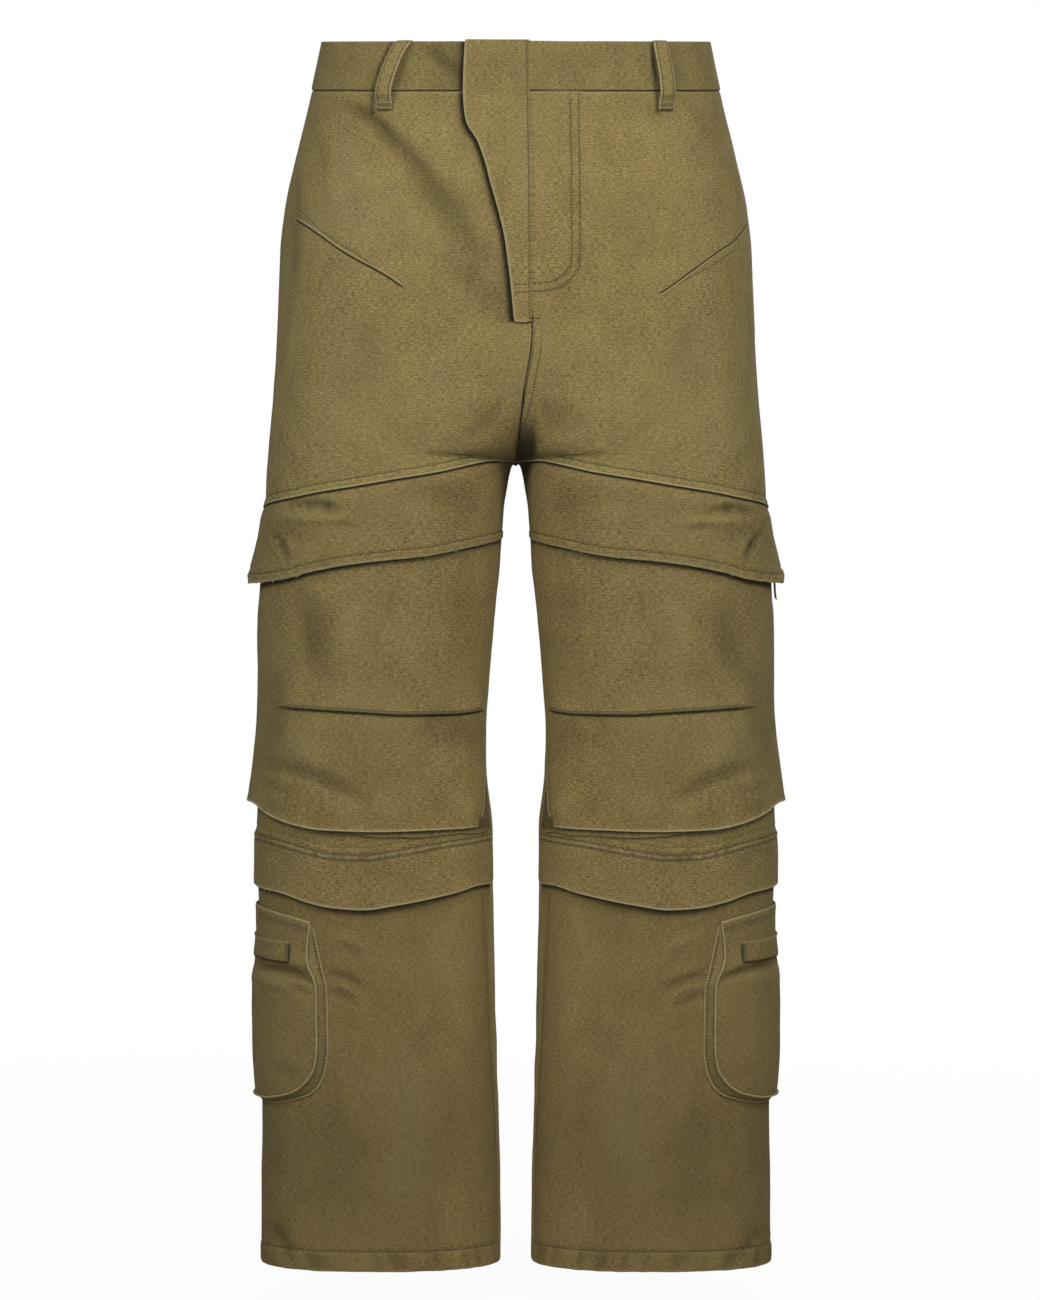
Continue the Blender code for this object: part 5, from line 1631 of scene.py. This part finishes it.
# Towards the fork the centre seam's sides turn away from each other, and a wider one joins them.
both = [beside(backs[side], "from_end", 0.0) for side in (-1, 1)]
points, normals = ((first + second) / 2 for first, second in zip(*both))
above = points[:, 2] > CROTCH - 5
allowances.append((*sunk((points[above], unit(normals[above])), 1.5), 5.0, 1.1))
roll("seam_allowances", allowances, CANVAS, shade=0.6, step=4)
piping = []
for face, gusset, welt in calves.values():
    for row, depth, width, height in ((0, -0.5, 1.9, 1.2), (-1, -0.1, 1.5, 0.9)):
        line = (gusset["points"][:, row], gusset["away"][:, row])
        piping.append((*sunk(line, depth), width, height))
roll("calf_piping", piping, LEG_CANVAS, wear_and_highlight=0.7)

# ----------------------------------------------------------------------------------- stitches
# Lockstitch in thread of the cloth's colour, about ten to the inch, each one sinking into a needle
# hole, whose shade is painted as a dark double cone. Every row follows the cloth that it holds.
STITCH, BAR_STITCH = 2.6, 1.1       # pitches of rows and of bar tacks
threads = {"hips": [], "flaps": [], "legs": [], "calves": []}


def thread_finish():
    """Twisted thread, its plies in two tones."""
    material, tree, shader = new_finish("thread")
    spot = add_node(tree, "ShaderNodeTexCoord").outputs["Object"]
    inputs = [("Vector", spot), ("Scale", 900.0), ("Detail", 2.0)]
    plies = add_node(tree, "ShaderNodeTexNoise", inputs).outputs[0]
    tone = tint(tree, (0.20, 0.155, 0.066, 1), plies, (0.30, 0.245, 0.115, 1))
    plug(tree, tone, shader.inputs["Base Color"])
    shader.inputs["Roughness"].default_value = 0.62
    ridge = add_node(tree, "ShaderNodeBump", [("Strength", 0.4), ("Distance", 0.0002), ("Height", plies)])
    plug(tree, ridge.outputs[0], shader.inputs["Normal"])
    return material


def hole_finish():
    """The painted shade of a needle hole: near black, with lint in it."""
    material, tree, shader = new_finish("needle_hole")
    spot = add_node(tree, "ShaderNodeTexCoord").outputs["Object"]
    lint = add_node(tree, "ShaderNodeTexNoise", [("Vector", spot), ("Scale", 600.0)]).outputs[0]
    tone = tint(tree, (0.022, 0.013, 0.005, 1), lint, (0.050, 0.032, 0.013, 1))
    plug(tree, tone, shader.inputs["Base Color"])
    shader.inputs["Roughness"].default_value = 1.0
    return material


THREAD, HOLE = thread_finish(), hole_finish()
# A thread's rings, and a hole's: how far along the pitch, how high, and how wide.
THREAD_RINGS = ((-0.30, 0.03, 0.20), (0.0, 0.14, 0.27), (0.30, 0.03, 0.20))
THREAD_TIP, THREAD_DIP, THREAD_FLATNESS = 0.46, -0.24, 0.8
HOLE_LENGTH, HOLE_WIDTH = 0.80, 0.62
THREAD_SIDES = 5


def stitch(group, line, pitch=STITCH):
    """Keep a row of stitches that runs along a line of points and normals."""
    threads[group].append((*sunk(line, -0.12), pitch))


def stitches(name, rows, seed):
    """Join all stitches of some rows: each is a thread bent over the cloth, then a needle hole.

    A thread is a tube of five sides through three rings, closed to a point at both ends. A
    hole is a flat double cone, near black: painted shade. Both are placed by each stitch's own directions.
    """
    parts = [even(*row) for row in rows]
    spot, ahead, up = (np.concatenate(group) for group in zip(*parts))
    pitch = np.concatenate([np.full(len(part[0]), row[2]) for part, row in zip(parts, rows)])
    over = np.cross(up, ahead)
    chance = np.random.default_rng(seed)
    count = len(spot)
    turn = chance.normal(0, 0.05, count)[:, None]
    ahead, over = ahead + turn * over, over - turn * ahead
    spot = spot + over * chance.normal(0, 0.07, count)[:, None]
    angle = np.arange(THREAD_SIDES) * 2 * np.pi / THREAD_SIDES
    thread = [(-THREAD_TIP, 0, THREAD_DIP)]
    for reach, lift, radius in THREAD_RINGS:
        thread += [(reach, radius * np.cos(a), lift + radius * THREAD_FLATNESS * np.sin(a)) for a in angle]
    thread = np.array((*thread, (THREAD_TIP, 0, THREAD_DIP)))
    local = spot[:, None] + ahead[:, None] * (thread[:, 0, None] * pitch[:, None, None])
    local = local + over[:, None] * thread[:, 1, None] + up[:, None] * thread[:, 2, None]
    # A hole's ring lies flat on the cloth, and its two tips above and below it.
    middle = spot + ahead * 0.5 * pitch[:, None]
    long, wide = HOLE_LENGTH * np.cos(angle)[:, None], HOLE_WIDTH * np.sin(angle)[:, None]
    dents = middle[:, None] + ahead[:, None] * long + over[:, None] * wide
    dents = dents + up[:, None] * 0.02
    tips = np.stack((middle + 0.11 * up, middle - 0.4 * up), axis=1)
    points = np.concatenate((local, dents, tips), axis=1)
    i = np.arange(THREAD_SIDES)
    j = (i + 1) % THREAD_SIDES
    fan = lambda tip, a, b: np.stack((np.full(THREAD_SIDES, tip), a, b), axis=1)
    # Corners are numbered: tip 0, rings from 1, 6 and 11, tip 16; the hole's ring from 17, tips 22, 23.
    faces = [fan(0, 1 + j, 1 + i), fan(16, 11 + i, 11 + j)]
    for ring in (1, 6):
        a, b, c, d = ring + i, ring + j, ring + 5 + j, ring + 5 + i
        faces += [np.stack((a, b, c), axis=1), np.stack((a, c, d), axis=1)]
    of_thread = sum(len(group) for group in faces)
    faces = np.concatenate((*faces, fan(22, 17 + i, 17 + j), fan(23, 17 + j, 17 + i)))
    every = (faces[None] + points.shape[1] * np.arange(count)[:, None, None]).reshape(-1, 3)
    made = new_mesh(name, points.reshape(-1, 3), every, THREAD)
    made.data.materials.append(HOLE)
    kinds = np.tile(np.arange(len(faces)) >= of_thread, count).astype(np.int32)
    made.data.polygons.foreach_set("material_index", kinds)


# Fly: down its sewn edge, twice across its foot, and the curved double row on the left.
stitch("hips", beside(fly, "from_end", FLY_STITCH))
for height in (-222.5, -229.0):
    stitch("hips", face_on(fly, bend(((-2.5, height), (4, height), (11, height)), 12)))
for curve in FLY_CURVES:
    stitch("hips", face_on(hips[1], bend(curve, 120)))
# Bar tacks beside the fly, and two rows down the centre seam below it.
for height, start, end in ((-222.0, 12.4, 15.5), (-239.0, 12.4, 15.5), (-250.5, 12.4, 20.0)):
    bar = ((start, height), ((start + end) / 2, height), (end, height))
    stitch("hips", face_on(hips[1], bend(bar, 8)), BAR_STITCH)
for distance in (2.0, 8.3):
    stitch("hips", beside(hips[1], "from_end", distance, 0.665, 0.985))
for side in (-1, 1):
    stitch("hips", face_on(hips[side], bend(DARTS[side][1], 60)))
    stitch("hips", beside(hips[side], "from_foot", THIGH_STITCH, 0.01, 0.995))
for strap in straps.values():
    for border in ("from_start", "from_end"):
        stitch("hips", beside(strap, border, 2.3, 0.02, 0.98), 2.2)
    for distance in (3.4, 5.0):
        stitch("hips", beside(strap, "from_foot", distance, 0.08, 0.92), 0.9)
for side in (-1, 1):
    stitch("flaps", beside(flaps[side], "from_foot", FLAP_STITCH, 0.045, 0.99))
    stitch("flaps", beside(flaps[side], "from_start", FLAP_END_STITCH, 0.05, 0.86))
    stitch("flaps", beside(flaps[side], "from_end", 2.6, 0.02, 0.97))
    for distance in KNEE_ROWS:
        stitch("flaps", beside(knee_flaps[side], "from_top", distance, 0.005, 0.995))
    stitch("flaps", beside(pockets[side], "from_end", 3.2, 0.30, 0.93))
INSEAM = np.array(((28.0, -735), (27.5, -782), (21.5, -876), (17.0, -950)))
for side in (-1, 1):
    stitch("legs", beside(shins[side], "from_foot", HEM_STITCH, 0.005, 0.995))
    stitch("legs", beside(backs[side], "from_foot", HEM_STITCH, 0.005, 0.995))
    stitch("legs", face_on(shins[side], bend(INSEAM * (side, 1), 90)))
for face, gusset, welt in calves.values():
    for distance in MOUTH_ROWS:
        stitch("calves", beside(face, "from_top", distance, 0.03, 0.97))
    stitch("calves", beside(gusset, "from_foot", 2.4, 0.03, 0.97))
    for border in ("from_start", "from_end"):
        for distance in (1.6, 3.4):
            stitch("calves", beside(welt, border, distance, 0.12, 0.88), 1.3)
for number, (name, rows) in enumerate(threads.items()):
    stitches(f"stitches_{name}", rows, 11 + number)

# Short pale ends of thread hang where the flaps and pockets have frayed.
LINT = canvas("lint", (0.46, 0.43, 0.31, 1))
chance = np.random.default_rng(8)
loose = []
for piece, count in ((flaps[-1], 8), (flaps[1], 7), (pockets[-1], 5), (pockets[1], 4), (knee_flaps[-1], 3)):
    points, normals = beside(piece, "from_foot", 0.2)
    for k in chance.integers(6, len(points) - 6, count):
        ahead = (points[k + 2] - points[k - 2]) / np.linalg.norm(points[k + 2] - points[k - 2])
        t = np.linspace(0, 1, 7)[:, None]
        way = chance.uniform(-1, 1) * ahead + np.array((0, 0, chance.uniform(-0.9, 0.5))) + 0.4 * normals[k]
        curl = chance.normal(0, 0.5) * ahead * np.sin(np.pi * t)
        line = points[k] + chance.uniform(1.5, 3.6) * t * way + curl
        loose.append((line, np.repeat(normals[k : k + 1], 7, axis=0), 0.42, 0.21))
roll("loose_threads", loose, LINT, step=0.6)

# ------------------------------------------------------------------------------------- stage
# A pale floor a little below the hems, which brightens to white far off. Soft lamps: the key at
# the front left, a fill at the front right, one in front and one behind. The world is white to
# look at and dim to light by.
FLOOR_RADIUS, FLOOR_DROP = 14.0, 32
WHITE, WARM_WHITE = (1, 1, 1), (1.0, 0.995, 0.96)
VIEW_FROM = (0.0035, -3.2, -0.527)      # square to the front, level with the thighs
LENS, SENSOR = 102.4, 36


def floor_finish():
    """White paint near by, blending by smoothstep of the distance into a white glow far off."""
    material, tree, white_paint = new_finish("floor_paint")
    white_paint.inputs["Roughness"].default_value = 0.9
    spot = add_node(tree, "ShaderNodeTexCoord").outputs["Object"]
    grain = add_node(tree, "ShaderNodeTexNoise", [("Vector", spot), ("Scale", 40.0)]).outputs[0]
    tone = tint(tree, (0.80, 0.775, 0.74, 1), grain, (0.82, 0.795, 0.76, 1))
    plug(tree, tone, white_paint.inputs["Base Color"])
    reach = add_node(tree, "ShaderNodeVectorMath", [(0, spot)], operation="LENGTH").outputs["Value"]
    far = add_node(
        tree,
        "ShaderNodeMapRange",
        [("Value", reach), ("From Min", 0.5), ("From Max", 2.6)],
        interpolation_type="SMOOTHSTEP",
    ).outputs[0]
    glow = add_node(tree, "ShaderNodeEmission", [(0, (1, 1, 1, 1)), (1, 1.0)]).outputs[0]
    painted = white_paint.outputs[0]
    pale = add_node(tree, "ShaderNodeMixShader", [(0, 0.95), (1, painted), (2, glow)]).outputs[0]
    white = add_node(tree, "ShaderNodeMixShader", [(0, far), (1, pale), (2, glow)]).outputs[0]
    dim = add_node(tree, "ShaderNodeBsdfDiffuse", [(0, (0.30, 0.29, 0.27, 1))]).outputs[0]
    seen = add_node(tree, "ShaderNodeLightPath").outputs["Is Camera Ray"]
    both = add_node(tree, "ShaderNodeMixShader", [(0, seen), (1, dim), (2, white)]).outputs[0]
    plug(tree, both, tree.nodes["Material Output"].inputs[0])
    return material


bpy.ops.mesh.primitive_circle_add(vertices=96, radius=FLOOR_RADIUS, fill_type="NGON")
floor = bpy.context.object
floor.name = "floor"
floor.location.z = (HEM - FLOOR_DROP) * MM
floor.data.materials.append(floor_finish())

world = bpy.data.worlds.new("studio")
bpy.context.scene.world = world
world.use_nodes = True
tree = world.node_tree
ray = add_node(tree, "ShaderNodeLightPath").outputs["Is Camera Ray"]
direction = add_node(tree, "ShaderNodeTexCoord").outputs[0]
upwards = add_node(tree, "ShaderNodeSeparateXYZ", [(0, direction)]).outputs[2]
glow = [("Value", upwards), ("From Min", -0.6), ("From Max", 0.8), ("To Min", 0.19), ("To Max", 0.29)]
dim = add_node(tree, "ShaderNodeMapRange", glow).outputs[0]
plug(tree, tint(tree, dim, ray, (1, 1, 1, 1)), tree.nodes["Background"].inputs[0])


def lamp(name, at, towards, size, watts, colour):
    """A square soft light, which the camera doesn't see."""
    data = bpy.data.lights.new(name, "AREA")
    data.size = size
    data.energy = watts
    data.color = colour
    made = bpy.data.objects.new(name, data)
    made.location = at
    made.rotation_euler = (Vector(towards) - Vector(at)).to_track_quat("-Z", "Y").to_euler()
    made.visible_camera = False
    bpy.context.scene.collection.objects.link(made)


lamp("key", (1.15, -1.75, 0.95), (0, 0, -0.2), 0.8, 24.5, WARM_WHITE)
lamp("fill", (-1.15, -1.75, 0.8), (0, 0, -0.35), 0.9, 19, WHITE)
lamp("front", (0.0, -2.8, -0.4), (0, 0, -0.5), 1.2, 15, WARM_WHITE)
lamp("back", (0.8, 2.6, 0.7), (0, 0, -0.45), 1.2, 30, WHITE)

bpy.context.scene.view_settings.view_transform = "Standard"
lens = bpy.data.cameras.new("view")
lens.lens, lens.sensor_width = LENS, SENSOR
camera = bpy.data.objects.new("view", lens)
camera.location = VIEW_FROM
camera.rotation_euler = (np.pi / 2, 0, 0)
bpy.context.scene.collection.objects.link(camera)
bpy.context.scene.camera = camera
